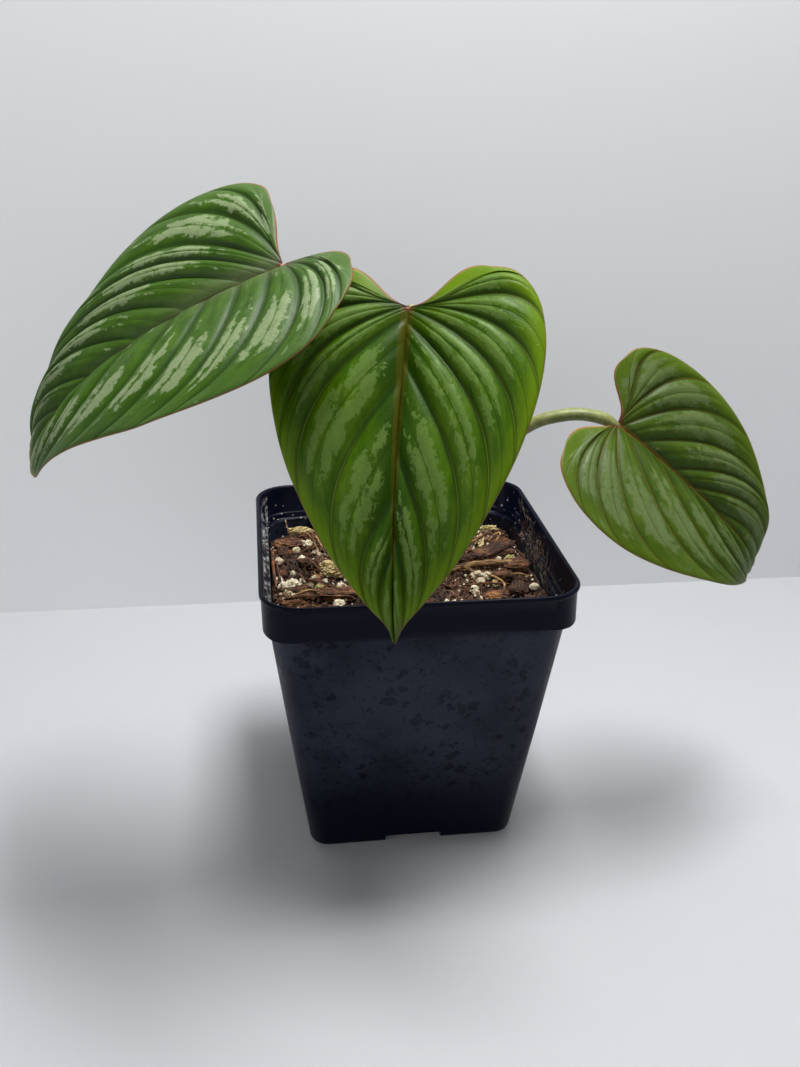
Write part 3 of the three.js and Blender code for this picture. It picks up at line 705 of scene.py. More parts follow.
def laid_lumps(name, material, boxy, rough, ridges, places):
    """One piece of lumps, each given as x, y, length, width, height and its turn from above.

    A lower boxy makes them squarer, rough is how uneven their faces are, and ridges is how close
    together the ridges along them are.
    """
    whole = bmesh.new()
    grain = whole.verts.layers.float_vector.new("grain")
    for order, (x, y, length, width, height, turn) in enumerate(places):
        made = bmesh.ops.create_icosphere(whole, subdivisions=4, radius=1)
        offset = Vector((order * 3.7, x, y))
        for vert in made["verts"]:
            way = vert.co.normalized()
            block = Vector([math.copysign(abs(c) ** boxy, c) for c in way])
            stretched = Vector((way.x * 1.6, way.y * ridges, way.z * ridges))
            block *= 1 + rough * noise.fractal(stretched + offset, 0.35, 2.1, 5)
            vert.co = Vector((block.x * length, block.y * width, block.z * height)) / 2
            vert[grain] = (vert.co + offset) * MM
        place = Matrix.Translation((x, y, mix_height(x, y) + 0.35 * height))
        lean = Matrix.Rotation(0.12 * math.sin(order * 2.4), 4, "Y")
        matrix = place @ Matrix.Rotation(math.radians(turn), 4, "Z") @ lean
        bmesh.ops.transform(whole, matrix=matrix, verts=made["verts"])
    bmesh.ops.scale(whole, vec=(MM, MM, MM), verts=whole.verts)
    mesh = bpy.data.meshes.new(name)
    whole.to_mesh(mesh)
    whole.free()
    return lay(name, mesh, material)


def smooth_route(points, count):
    """Evenly spaced points on a smooth curve through the given ones."""
    knots = [np.array(p, float) for p in points]
    knots = [2 * knots[0] - knots[1], *knots, 2 * knots[-1] - knots[-2]]
    dense = []
    for p0, p1, p2, p3 in zip(knots, knots[1:], knots[2:], knots[3:]):
        t0 = 0.0
        t1 = t0 + math.sqrt(np.linalg.norm(p1 - p0))
        t2 = t1 + math.sqrt(np.linalg.norm(p2 - p1))
        t3 = t2 + math.sqrt(np.linalg.norm(p3 - p2))
        for t in np.linspace(t1, t2, 24, endpoint=False):
            a1 = (t1 - t) / (t1 - t0) * p0 + (t - t0) / (t1 - t0) * p1
            a2 = (t2 - t) / (t2 - t1) * p1 + (t - t1) / (t2 - t1) * p2
            a3 = (t3 - t) / (t3 - t2) * p2 + (t - t2) / (t3 - t2) * p3
            b1 = (t2 - t) / (t2 - t0) * a1 + (t - t0) / (t2 - t0) * a2
            b2 = (t3 - t) / (t3 - t1) * a2 + (t - t1) / (t3 - t1) * a3
            dense.append((t2 - t) / (t2 - t1) * b1 + (t - t1) / (t2 - t1) * b2)
    dense.append(knots[-2])
    dense = np.array(dense)
    length = np.concatenate([[0], np.cumsum(np.linalg.norm(np.diff(dense, axis=0), axis=1))])
    at = np.linspace(0, length[-1], count)
    return np.stack([np.interp(at, length, dense[:, k]) for k in range(3)], axis=1)


def tube_rings(centres, section, up=(0, 0, 1), sides=24):
    """Rings along a route. section(share, angle) is the radius, with angle 0 on the upper side."""
    along = np.gradient(centres, axis=0)
    rings = []
    across = np.cross(along[0], up)
    for i, (centre, way) in enumerate(zip(centres, along)):
        way = way / np.linalg.norm(way)
        across = across - way * (across @ way)
        across = across / np.linalg.norm(across)
        top = np.cross(across, way)
        ring = []
        for k in range(sides):
            angle = 2 * math.pi * k / sides
            radius = section(i / (len(centres) - 1), angle)
            ring.append(centre + radius * (math.cos(angle) * top - math.sin(angle) * across))
        rings.append(np.array(ring))
    return rings


STRAND_SIDES = 8
STRAND_RINGS_PER_POINT = 6


def strand_section(radius):
    """A strand's radius along it: knotty, and drawn in at both ends."""
    def section(share, angle):
        knots = 1 + 0.16 * math.sin(share * 23 + 2 * angle)
        return radius * knots * (1 - 0.6 * abs(2 * share - 1) ** 4)

    return section


def laid_strands(name, material, strands):
    """One piece of roots or sticks, each given as its radius and the points of its route."""
    whole = bmesh.new()
    layer = whole.verts.layers.float_vector.new("grain")
    for order, (radius, points) in enumerate(strands):
        centres = smooth_route(points, STRAND_RINGS_PER_POINT * len(points))
        rings = tube_rings(centres, strand_section(radius), sides=STRAND_SIDES)
        first = len(whole.verts)
        whole.from_mesh(loft_mesh(name, rings))
        whole.verts.ensure_lookup_table()
        for i, centre in enumerate(centres):
            start = first + STRAND_SIDES * i
            for vert in whole.verts[start:start + STRAND_SIDES]:
                vert[layer] = vert.co - Vector(centre) * MM + Vector((i, order, 0)) * MM
    mesh = bpy.data.meshes.new(name)
    whole.to_mesh(mesh)
    whole.free()
    mesh.shade_smooth()
    return lay(name, mesh, material)


# The inside of the right wall, from the body over the step to the collar: heights above the step's
# lower edge, and how far the wall is there from the pot's axis.
WALL_HEIGHTS = (-0.5, 0.3, 1.8, 2.6)
WALL_PLACES = (49.75, 50.7, 51.05, 51.9)


def wall_fibres(count, seed):
    """Routes of fibres that water has stuck to the inside of the right wall and to its step."""
    draw = random.Random(seed)
    fibres = []
    for _ in range(count):
        y = draw.triangular(-34, 38, 8)
        z = min(max(92.6 + 0.13 * (y + 30) + draw.gauss(0, 2.8), 91.5), 103.5)
        heading = math.radians(draw.gauss(75, 40))
        curl = draw.uniform(-0.7, 0.7)
        pace = draw.uniform(0.6, 1.9)
        route = []
        for _ in range(5):
            above_step = z - COLLAR_FOOT - COLLAR_ARCH * (1 - (y / COLLAR_HALF) ** 2)
            x = np.interp(above_step, WALL_HEIGHTS, WALL_PLACES)
            route.append((x, y, z))
            y += pace * math.cos(heading)
            z = max(z + pace * math.sin(heading), 90.8)
            heading += curl
        fibres.append((draw.uniform(0.035, 0.09), route))
    return fibres


laid_lumps(
    "laid_chips", red_bark, boxy=0.6, rough=0.27, ridges=5.0,
    places=(
        (-42, 33, 10.5, 9, 4, 20), (-26, -12, 15, 7, 3, 5), (-40, -13, 10, 3, 2, -20),
        (-39, -7, 6, 4, 2, 30), (-42, -17, 8, 2.5, 2, 0), (-30, 14, 6, 4, 2.5, 60),
        (42, 30, 11, 9, 3, 35), (44, 4, 9, 8, 3.5, -10), (-45, 10, 6, 3, 2, 80),
        (32, -16, 9, 5, 3, 10), (43, 17, 7, 4, 2.5, -30), (-33, 38, 7, 4, 3, -40),
    ),
)
laid_lumps(
    "laid_dark_chips", dark_bark, boxy=0.5, rough=0.25, ridges=6.0,
    places=(
        (37, 17, 21, 7, 4, 38.7), (24, 10, 8, 6, 5, 15), (36, -4, 9, 5, 3, -20),
        (-35, 14, 8, 5, 3, 120), (40, -15, 8, 5, 3, 70), (-44, 25, 7, 4, 3, 100),
    ),
)
laid_lumps(
    "laid_perlite", perlite_chalk, boxy=0.95, rough=0.34, ridges=1.6,
    places=(
        (-34, 31, 3.6, 3.2, 3, 0), (-31.5, 26.5, 3, 2.6, 2.4, 20), (-30, 25, 2.4, 2, 2, 0),
        (-36, 37, 2, 2, 2, 0), (-39, 27, 3.2, 2.2, 2.2, 40), (-37, 21, 2.5, 2.5, 2, 0),
        (-46, 17, 3, 2.6, 2.5, 0), (-41, 7.5, 2.2, 2, 2, 0), (-46.5, 4, 3, 3, 2.6, 0),
        (-38, 3, 2, 2.2, 2, 0), (-33, 3, 2.6, 2.2, 2, 0), (-35, -4, 2.2, 2, 2, 0),
        (-24, -6, 3.6, 3.2, 3, 0), (-26, -18, 4, 3.4, 3, 0), (-41.5, -1, 5.4, 4.4, 4, 10),
        (-45, -2, 3.8, 3.6, 3.2, 0), (-43, -9, 2.4, 2, 2, 0), (27.5, -1, 4.2, 3.6, 3.4, 0),
        (31, -3.5, 3.6, 3, 3, 0), (28, -6.5, 3, 2.6, 2.4, 0), (24, -16, 3, 2.4, 2.4, 0),
        (29, -17, 3, 2.8, 2.4, 0), (46, -15, 3.2, 2.8, 2.6, 0), (36, 23, 2.6, 2.2, 2, 0),
        (39, 13, 2.2, 2, 2, 0), (45, 9, 2, 2, 1.8, 0), (-19, 30, 3, 3, 2.5, 0),
        (12, 34, 3, 3, 2.5, 0),
    ),
)
laid_lumps(
    "laid_algae", perlite_algae, boxy=0.95, rough=0.42, ridges=1.8,
    places=(
        (-28, 11.5, 6.5, 5, 4.2, 20), (-26, 3, 6.4, 5.6, 5, 0), (-32, -6, 3.4, 2.6, 2.4, 0),
        (-36.5, 45.5, 9, 3.5, 3, 0), (41.5, 43, 7, 3.5, 3, 0), (35, 29, 8, 3, 2.5, 62),
        (44, 13, 3.6, 2.6, 2, 0), (35, 18, 4, 2.6, 2, 0), (33, -8, 2.4, 3.6, 2, 0),
    ),
)
laid_strands(
    "laid_roots", pale_fibre,
    (
        (1.25, ((16, 2, 92), (26, 4.5, 93.2), (36, 6, 93), (46, 5, 92.6), (48.5, 4.5, 92))),
        (0.7, ((18, 5, 92), (23, 2.5, 93.4), (28, -2, 92.2))),
        (0.45, ((30, -3, 93), (33.5, -8, 93.6), (35.5, -12, 93), (34.5, -16, 92))),
        (0.35, ((36, -7, 93), (42, -6, 94), (46.5, -7, 93))),
        (0.4, ((-34, 44, 92.5), (-31, 33, 94.6), (-28, 21, 93))),
        (0.3, ((-35.5, 43, 92.5), (-32.5, 33, 94), (-30.5, 22, 92.6))),
        (0.3, ((-42.5, 48, 96), (-42, 46, 94), (-41, 44, 91.5))),
        (0.5, ((-44, -14, 92), (-36, -11.5, 93.6), (-29, -13.5, 92.8))),
        (0.4, ((38, 27, 92.5), (42, 31, 93.8), (46, 33, 92.5))),
        (0.4, ((40, 25, 92.5), (43, 29, 94), (44, 36, 92.5))),
    ),
)
laid_strands(
    "laid_sticks", red_bark,
    (
        (0.55, ((-48, 29, 91.5), (-48.4, 12, 93.5), (-47.6, -4, 91.5))),
        (0.4, ((-46.5, 24, 91.5), (-46.8, 10, 93), (-45.5, -6, 91.5))),
        (0.5, ((22, 20, 92), (31, 24, 94), (39, 35, 92.5))),
        (0.45, ((20, -10, 92), (29, -12, 93.6), (38, -11, 92.4))),
        (0.4, ((-40, 18, 92), (-34, 12, 93.5), (-30, 4, 92.3))),
    ),
)
dusty_fibre = bark_material(
    "dusty_fibre", (0.05, 0.036, 0.02), (0.27, 0.22, 0.14), (0.42, 0.38, 0.28)
)
laid_strands("wall_fibres", dusty_fibre, wall_fibres(120, 5))
laid_strands("dark_wall_fibres", red_bark, wall_fibres(60, 8))


# The creeping stem and the petioles, fleshy and green: the stem is half sunk in the mix and ringed
# with leaf scars. Each petiole grows from it on a short boss, arches up, and bends over to meet its
# blade from below or from behind.
STEM_RADIUS = 5.4
STEM_AXIS = ((9, 18, 80.9), (6, 11, 87.9), (3, 4, 92.4), (1, -3, 95.4), (0, -9, 97.9))
PETIOLE_RADIUS = 2.4
PETIOLE_FOOT_RADIUS = 3.0
BOSS_REACH = 7.0

# A petiole's last points, in its blade's own frame.
ARRIVALS = {
    "below": ((-0.8, 0, -5.7), (0, 0, -1.8)),
    "behind": ((-5, -0.7, -2), (-1, -0.2, -1.4), (1.6, 0, -1.1)),
}

# Where each leaf grows: the base is where its petiole meets the blade, and the turn is the blade's
# heading, droop and twist in degrees. The boss points out from the stem, at a share of its length,
# and the route is the petiole's way from there to where it arrives.
LEAVES = {
    "left": {
        "base": (-43, -35, 212.7),
        "turn": (177.8, 23.3, -28.6),
        "arrival": "below",
        "boss": (-0.85, 0.3, 0.5),
        "boss_at": 0.42,
        "route": (
            (-15, 5, 115.9), (-27, 2, 139.9), (-39, -7, 167.9), (-48, -19, 190.9),
            (-46.5, -27.5, 203.9),
        ),
    },
    "centre": {
        "base": (-6.6, -40, 201.3),
        "turn": (-105, 53.7, 6),
        "arrival": "below",
        "boss": (-0.1, 0.15, 0.98),
        "boss_at": 0.8,
        "route": ((1, -7, 131.9), (1, -13, 161.9), (0, -23, 184.9)),
    },
    "right": {
        "base": (73, -10, 152.9),
        "turn": (-15.3, 36.7, 46.4),
        "arrival": "behind",
        "boss": (0.75, 0, 0.66),
        "boss_at": 0.3,
        "route": (
            (22, 8, 119.9), (33, 3, 139.9), (45.2, -2, 151.5), (52.9, -4, 154.4), (59.9, -6, 155.6),
        ),
    },
}


def leaf_frame(leaf):
    """X runs along the midrib to the tip, Y to the right half, and Z up from the face."""
    heading, droop, twist = (math.radians(a) for a in leaf["turn"])
    turn = Matrix.Rotation(heading, 4, "Z") @ Matrix.Rotation(droop, 4, "Y")
    turn @= Matrix.Rotation(twist, 4, "X")
    return Matrix.Translation(leaf["base"]) @ turn


def boss_of(leaf):
    """Where a petiole's boss leaves the stem's axis, its direction, and the petiole's seat on it."""
    root = smooth_route(STEM_AXIS, 101)[round(100 * leaf["boss_at"])]
    way = np.array(leaf["boss"]) / np.linalg.norm(leaf["boss"])
    return root, way, root + way * BOSS_REACH


def stem_section(share, angle):
    """The stem's radius: nine leaf scars stand out, and the growing end tapers."""
    scar = max(0, math.cos(share * 9 * 2 * math.pi)) ** 3
    taper = 1 if share < 0.7 else 1 - 0.75 * ((share - 0.7) / 0.3) ** 1.3
    return STEM_RADIUS * (0.92 + 0.08 * scar) * taper


def boss_section(share, angle):
    return PETIOLE_FOOT_RADIUS * (1.25 - 0.25 * share)


def make_stem():
    parts = [loft_mesh("stem", tube_rings(smooth_route(STEM_AXIS, 60), stem_section, (1, 0, 0)))]
    for leaf in LEAVES.values():
        root, _, seat = boss_of(leaf)
        centres = np.linspace(root, seat, 8)
        parts.append(loft_mesh("boss", tube_rings(centres, boss_section, (1, 0.3, 0))))
    whole = bmesh.new()
    for part in parts:
        whole.from_mesh(part)
    mesh = bpy.data.meshes.new("creeping_stem")
    whole.to_mesh(mesh)
    whole.free()
    stem = link_mesh("creeping_stem", mesh)
    weld = stem.modifiers.new("weld", "REMESH")
    weld.mode = "VOXEL"
    weld.voxel_size = 0.45 * MM
    ease = stem.modifiers.new("ease", "SMOOTH")
    ease.iterations = 3
    apply_modifiers(stem)
    stem.data.shade_smooth()
    return stem


def stem_skin():
    material, make = new_material("stem_skin")
    place = make.object_place()
    patches = make.noise(place, 160.0, 4.0)
    colour = make.mix(make.step(patches, 0.4, 0.65), (0.13, 0.17, 0.04), (0.19, 0.11, 0.045))
    wants = {"Base Color": colour, "Roughness": 0.55, "Normal": make.bump(patches, 0.3, 0.0006)}
    shader = make.add("ShaderNodeBsdfPrincipled", wants)
    finish_material(make, shader.outputs[0])
    return material


creeping_stem = make_stem()
creeping_stem.data.materials.append(stem_skin())
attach(creeping_stem, "root")
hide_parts("stem")


def petiole_section(share, angle):
    """Round at the foot, and drawn in slightly along the upper side further up."""
    foot = max(0, 1 - share / 0.14) ** 2
    neck = 0.06 * math.exp(-(((share - 0.96) / 0.04) ** 2))
    end = max(0, (share - 0.92) / 0.08) ** 2
    slim = PETIOLE_RADIUS * (1.08 - 0.14 * share + neck - 0.45 * end)
    groove = 0.1 * max(0, math.cos(angle)) ** 6 * min(1, 4 * share)
    return (slim + (PETIOLE_FOOT_RADIUS - slim) * foot) * (1 - groove)


def make_petiole(name, leaf):
    _, way, seat = boss_of(leaf)
    start = seat + way * 0.1
    place = leaf_frame(leaf)
    points = [start, start + way * 2, start + way * 6, *leaf["route"]]
    points += [place @ Vector(point) for point in ARRIVALS[leaf["arrival"]]]
    mesh = loft_mesh(name, tube_rings(smooth_route(points, 90), petiole_section))
    mesh.shade_smooth()
    return link_mesh(name, mesh)


def petiole_skin():
    material, make = new_material("petiole_skin")
    place = make.object_place()
    streaks = make.noise(make.scaled(place, (1.0, 1.0, 0.5)), 420.0, 4.0, 0.6)
    mottle = make.noise(place, 60.0, 3.0)
    colour = make.mix(make.step(streaks, 0.35, 0.68), (0.15, 0.18, 0.04), (0.27, 0.305, 0.1))
    colour = make.mix(make.step(mottle, 0.5, 0.75), colour, (0.25, 0.22, 0.07))
    wants = {"Base Color": colour, "Roughness": 0.45, "Normal": make.bump(streaks, 0.15, 0.0003)}
    shader = make.add("ShaderNodeBsdfPrincipled", wants)
    make.put(shader.inputs["Subsurface Weight"], 0.2)
    make.put(shader.inputs["Subsurface Scale"], 0.002)
    finish_material(make, shader.outputs[0])
    return material


petiole_green = petiole_skin()
for side, leaf in LEAVES.items():
    petiole = make_petiole("petiole_stalk_" + side, leaf)
    petiole.data.materials.append(petiole_green)
    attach(petiole, "root")
    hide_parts("petiole_" + side)


# The blades: thin hearts with eight to eleven quilted ribs in each half, between sunken veins. Air
# under the skin of the ribs shows as silver marks with ragged edges, and the margin is a fine
# red-brown line. An outline runs from the sinus to the tip, as shares of the blade's length.
THICKNESS = 0.5
MARGIN_WIDTH = 2.5
MARGIN_SHARE = 0.55
MIDRIB_HALF_WIDTH = 1.6
MIDRIB_SINK = 0.35
KEEL_DEPTH = 1.1
KEEL_HALF_WIDTH_AT_TIP = 1.3
KEEL_HALF_WIDTH_AT_FOOT = 2.9
HUB_DEPTH = 1.5
HUB_RADIUS = 4
HEART = (
    (0.22, -0.13), (0.305, -0.11), (0.37, -0.03), (0.403, 0.09), (0.4, 0.235), (0.358, 0.4),
    (0.288, 0.56), (0.192, 0.727), (0.09, 0.86), (0.024, 0.945), (0, 1),
)
SHALLOW_HALF = (
    (0.205, -0.026), (0.28, -0.022), (0.335, 0.035), (0.358, 0.126), (0.352, 0.256), (0.31, 0.408),
    (0.235, 0.56), (0.166, 0.724), (0.108, 0.87), (0.042, 0.955), (0, 1),
)
DEEP_HALF = (
    (0.12, -0.163), (0.2, -0.152), (0.275, -0.1), (0.35, -0.015), (0.394, 0.102), (0.399, 0.246),
    (0.361, 0.409), (0.287, 0.563), (0.202, 0.732), (0.125, 0.87), (0.05, 0.955), (0, 1),
)
ROWS_PER_RIB = 12
ROWS_IN_LAST_RIB = 18
COLUMNS = 46
RIB_SLOPE = 0.23
GROOVE_HALF_WIDTH = 0.055
TIP_START = 0.62


def shaped(edge, width, lobes):
    """An outline made wider, and its lobe longer, by two factors."""
    return tuple((u * width, v * lobes if v < 0 else v) for u, v in edge)


# Each half has its outline, the heading of its sinus edge, and its veins from the tip to that edge:
# where each leaves the midrib and where it meets the margin, as shares of the blade's length. The
# curl turns the midrib and the lobes down by so many degrees, the fold lifts the halves by degrees,
# and the arch bends them back by radians a millimetre. Lengths, the wave and the deepest rib are in
# millimetres, and the groove is a share of the rib's height.
BLADES = {
    "left": {
        "length": 115.6,
        "curl": {"bend": 52.5, "power": 1.74, "lobes": -5, "tip": 6.5},
        "fold": 12,
        "arch": -0.0041,
        "halves": (
            (
                SHALLOW_HALF, 85,
                (
                    (1, 1), (0.72, 0.96), (0.59, 0.93), (0.42, 0.87), (0.27, 0.76), (0.11, 0.7),
                    (0.04, 0.61), (0, 0.53), (0, 0.32), (0, 0.13), (0, -0.026),
                ),
            ),
            (
                DEEP_HALF, 172,
                (
                    (1, 1), (0.7, 0.96), (0.59, 0.92), (0.46, 0.84), (0.31, 0.69), (0.21, 0.58),
                    (0.12, 0.46), (0.04, 0.36), (0, 0.17), (0, 0), (0, -0.1), (0, -0.163),
                ),
            ),
        ),
        "wave": 0.5,
        "deepest_rib": 2.1,
        "groove": 0.15,
    },
    "centre": {
        "length": 103,
        "curl": {"bend": 38, "power": 1.56, "lobes": 4, "tip": 1},
        "fold": 10.5,
        "arch": -0.0053,
        "halves": (
            (
                shaped(HEART, 0.97, 0.85), 100,
                (
                    (1, 1), (0.71, 0.94), (0.56, 0.88), (0.22, 0.78), (0.04, 0.57), (0, 0.43),
                    (0, 0.24), (0, -0.01), (0, -0.11),
                ),
            ),
            (
                shaped(HEART, 1, 0.86), 85,
                (
                    (1, 1), (0.66, 0.95), (0.43, 0.89), (0.16, 0.78), (0.05, 0.62), (0.01, 0.46),
                    (0, 0.27), (0, 0.06), (0, -0.07), (0, -0.112),
                ),
            ),
        ),
        "wave": 0.4,
        "deepest_rib": 2.9,
        "groove": 0.24,
    },
    "right": {
        "length": 92,
        "curl": {"bend": 34.3, "power": 1.8, "lobes": 0.5, "tip": 46},
        "fold": 17.4,
        "arch": -0.0035,
        "halves": (
            (
                shaped(HEART, 1.147, 1.14), 120,
                (
                    (1, 1), (0.55, 0.95), (0.37, 0.9), (0.2, 0.81), (0.05, 0.67), (0, 0.44),
                    (0, 0.24), (0, 0.05), (0, -0.148),
                ),
            ),
            (
                shaped(HEART, 0.9, 1.06), 87,
                (
                    (1, 1), (0.52, 0.93), (0.39, 0.83), (0.28, 0.75), (0.11, 0.66), (0.02, 0.46),
                    (0, 0.22), (0, -0.03), (0, -0.138),
                ),
            ),
        ),
        "wave": 0.4,
        "deepest_rib": 2.0,
        "groove": 0.24,
    },
}


def smooth_value(values, share):
    """A smooth curve through evenly spaced values, at a share of the way."""
    last = len(values) - 1
    x = min(max(share, 0), 1) * last
    i = min(int(x), last - 1)
    t = x - i
    p1, p2 = values[i], values[i + 1]
    p0 = values[i - 1] if i > 0 else 2 * p1 - p2
    p3 = values[i + 2] if i + 2 <= last else 2 * p2 - p1
    cubic = 2 * p0 - 5 * p1 + 4 * p2 - p3 + t * (3 * (p1 - p2) + p3 - p0)
    return p1 + 0.5 * t * (p2 - p0 + t * cubic)


class Margin:
    """One half's edge from its lobe to the tip, with its length up to each point."""

    def __init__(self, edge):
        self.points = smooth_route([(u, v, 0) for u, v in edge], 240)[:, :2]
        steps = np.linalg.norm(np.diff(self.points, axis=0), axis=1)
        self.length = np.concatenate([[0], np.cumsum(steps)])

    def reach(self, v):
        return np.interp(v, self.points[:, 1], self.length)

    def at(self, length):
        return np.array([np.interp(length, self.length, self.points[:, k]) for k in range(2)])


# A vein leaves the midrib at a slant in degrees, and arrives turned in from the margin by degrees
# that depend on the share of the last rib passed. The pulls are shares of the vein's own length.
LEAST_SLANT = 12
SLANT_GAIN = 1.5
LEAVING_PULL = 0.36
ARRIVING_PULL = 0.42
LAST_RIB_SHARES = (0, 0.5, 0.75, 1)
ARRIVING_TURNS = (16, 38, 46, 0)


def vein_points(margin, sinus, veins, q, shares):
    """Points along one half's vein at q, which is 0 at the tip and 1 at the sinus edge.

    A vein leaves the midrib at a slant, and bends forward before it meets the margin. In the last
    rib, the veins turn step by step into the sinus edge.
    """
    total = margin.length[-1]
    last_rib = 1 - 1 / (len(veins) - 1)
    in_last = max(0, (q - last_rib) / (1 - last_rib))
    if in_last > 0:
        reach = margin.reach(veins[-2][1]) * (1 - in_last)
    else:
        reach = margin.reach(smooth_value([v[1] for v in veins], q))
    end = margin.at(reach)
    start = np.array((0, min(max(smooth_value([v[0] for v in veins], q), 0), 1)))
    way = end - start
    chord = np.linalg.norm(way)
    slant = LEAST_SLANT + SLANT_GAIN * math.degrees(math.atan2(way[0], way[1]))
    leaving = min(slant, sinus)
    leaving = math.radians(leaving + (sinus - leaving) * in_last)
    side = margin.at(min(total, reach + 0.01 * total)) - margin.at(max(0, reach - 0.01 * total))
    inward = np.interp(in_last, LAST_RIB_SHARES, ARRIVING_TURNS) * min(1, q / 0.06)
    arriving = math.atan2(side[0], side[1]) + math.radians(inward)
    out = start + LEAVING_PULL * chord * np.array((math.sin(leaving), math.cos(leaving)))
    back = end - ARRIVING_PULL * chord * np.array((math.sin(arriving), math.cos(arriving)))
    t = shares[:, None]
    return (1 - t) ** 3 * start + 3 * (1 - t) ** 2 * t * out + 3 * (1 - t) * t**2 * back + t**3 * end


def make_bender(blade):
    """Bends the flat blade: the midrib curls down, and each half folds up and arches over."""
    length, curl = blade["length"], blade["curl"]
    places = np.linspace(-0.3 * length, 1.05 * length, 400)
    share = places / length
    tip = np.clip((share - TIP_START) / (1 - TIP_START), 0, None) ** 1.5
    turn = np.radians(curl["bend"] * np.clip(share, 0, None) ** curl["power"] + curl["tip"] * tip)
    turn = np.where(share < 0, np.radians(curl["lobes"]) * share, turn)
    pitch = places[1] - places[0]
    middle = (turn[1:] + turn[:-1]) / 2
    ahead = np.concatenate([[0], np.cumsum(pitch * np.cos(middle))])
    below = np.concatenate([[0], np.cumsum(pitch * np.sin(middle))])
    ahead -= np.interp(0, places, ahead)
    below -= np.interp(0, places, below)
    fold, arch = math.radians(blade["fold"]), blade["arch"]

    def bend(u, v, lift):
        end = fold + arch * abs(u)
        out = (np.sin(end) - math.sin(fold)) / arch
        raised = (math.cos(fold) - np.cos(end)) / arch + lift
        lean = np.interp(v, places, turn)
        x = np.interp(v, places, ahead) + raised * np.sin(lean)
        z = raised * np.cos(lean) - np.interp(v, places, below)
        return np.stack([x, np.sign(u) * out, z], axis=-1)

    return bend


def face_lift(blade, half):
    """The face's relief: quilted ribs, each with a groove, a sunken midrib, and a slight wave."""
    q, r, side = half["q"], half["r"], half["side"]
    along = half["across"] % 1
    rib = np.abs(np.sin(np.pi * along)) ** 0.58
    rib = rib * (1 - blade["groove"] * np.exp(-(((along - 0.5) / GROOVE_HALF_WIDTH) ** 2)))
    fade = np.sin(np.pi * r**0.65) ** 0.7
    in_last = np.clip(half["across"] - half["across"].max() + 1, 0, 1)
    size = np.minimum(RIB_SLOPE * half["rib_width"], blade["deepest_rib"]) * (1 - 0.7 * in_last)
    ripple = np.sin(21 * q + (0.4 if side > 0 else 2.1)) * np.minimum(1, 6 * q * (1 - q))
    midrib = np.clip(1 - (half["u"] / MIDRIB_HALF_WIDTH) ** 2, 0, 1)
    midrib = midrib * np.clip(1 - half["v"] / blade["length"], 0, 1) * (half["v"] > 0)
    return size * rib * fade + blade["wave"] * r**3 * ripple - MIDRIB_SINK * midrib


def keel(blade, u, v):
    """How much thicker the underside is along the midrib and where the veins meet."""
    to_tip = 1 - np.clip(v / blade["length"], 0, 1)
    hub = HUB_DEPTH * np.exp(-((np.hypot(u, v) / HUB_RADIUS) ** 2))
    half_width = KEEL_HALF_WIDTH_AT_TIP + (KEEL_HALF_WIDTH_AT_FOOT - KEEL_HALF_WIDTH_AT_TIP) * to_tip
    ridge = KEEL_DEPTH * to_tip**0.6 * np.clip(1 - np.abs(u) / half_width, 0, 1)
    return np.maximum(hub, ridge)


def blade_half(blade, index):
    """One half's grid of points, and what its surface pattern is drawn from, all in millimetres."""
    edge, sinus, veins = blade["halves"][index]
    side = 1 if index else -1
    margin = Margin(edge)
    ribs = len(veins) - 1
    lower = np.linspace(0, 1 - 1 / ribs, (ribs - 1) * ROWS_PER_RIB + 1)
    rows = np.concatenate([lower, np.linspace(lower[-1], 1, ROWS_IN_LAST_RIB + 1)[1:]])
    shares = np.linspace(0, 1, COLUMNS) ** 1.35
    flat = np.array([vein_points(margin, sinus, veins, q, shares) for q in rows]) * blade["length"]
    length = np.cumsum(np.linalg.norm(np.diff(flat, axis=0, prepend=flat[:1]), axis=2), axis=0)
    reach = np.cumsum(np.linalg.norm(np.diff(flat, axis=1, prepend=flat[:, :1]), axis=2), axis=1)

    def at(spots):
        """The distance over the ribs, at each of some values of q and in each column."""
        return np.array([[np.interp(q, rows, column) for column in length.T] for q in spots])

    at_vein = at(np.arange(ribs + 1) / ribs)
    at_middle = at((np.arange(ribs) + 0.5) / ribs)
    rib_width = np.diff(at_vein, axis=0)[np.minimum((rows * ribs).astype(int), ribs - 1)]
    half = {
        "side": side,
        "u": side * flat[..., 0],
        "v": flat[..., 1],
        "q": np.repeat(rows[:, None], COLUMNS, axis=1),
        "r": np.repeat(shares[None], len(rows), axis=0),
        "across": np.repeat(rows[:, None] * ribs, COLUMNS, axis=1),
        "rib_width": rib_width,
        "to_vein": np.min(np.abs(length[None] - at_vein[1:-1, None]), axis=0),
        "to_middle": np.min(np.abs(length[None] - at_middle[:, None]), axis=0),
        "to_margin": np.minimum(reach[:, -1:] - reach, length[-1:] - length),
    }
    half["lift"] = face_lift(blade, half)
    return half


# The surface pattern is drawn from four maps: places counted in ribs, the flat blade, and distances
# to the veins and to the midrib and margin. The right half's ribs are counted on from HALVES_APART.
PATTERN_MAPS = ("ribs", "flat", "veins", "edges")
FLAT_UNIT = 100
HALVES_APART = 20


def pattern_place(half, i, j):
    """A point's place in each of the pattern's maps."""
    u, v = half["u"][i, j], half["v"][i, j]
    counted_from = HALVES_APART if half["side"] > 0 else 0
    return (
        (half["across"][i, j] + counted_from, half["r"][i, j]),
        (u / FLAT_UNIT, v / FLAT_UNIT),
        (half["to_vein"][i, j], half["to_middle"][i, j]),
        (abs(u), half["to_margin"][i, j]),
    )


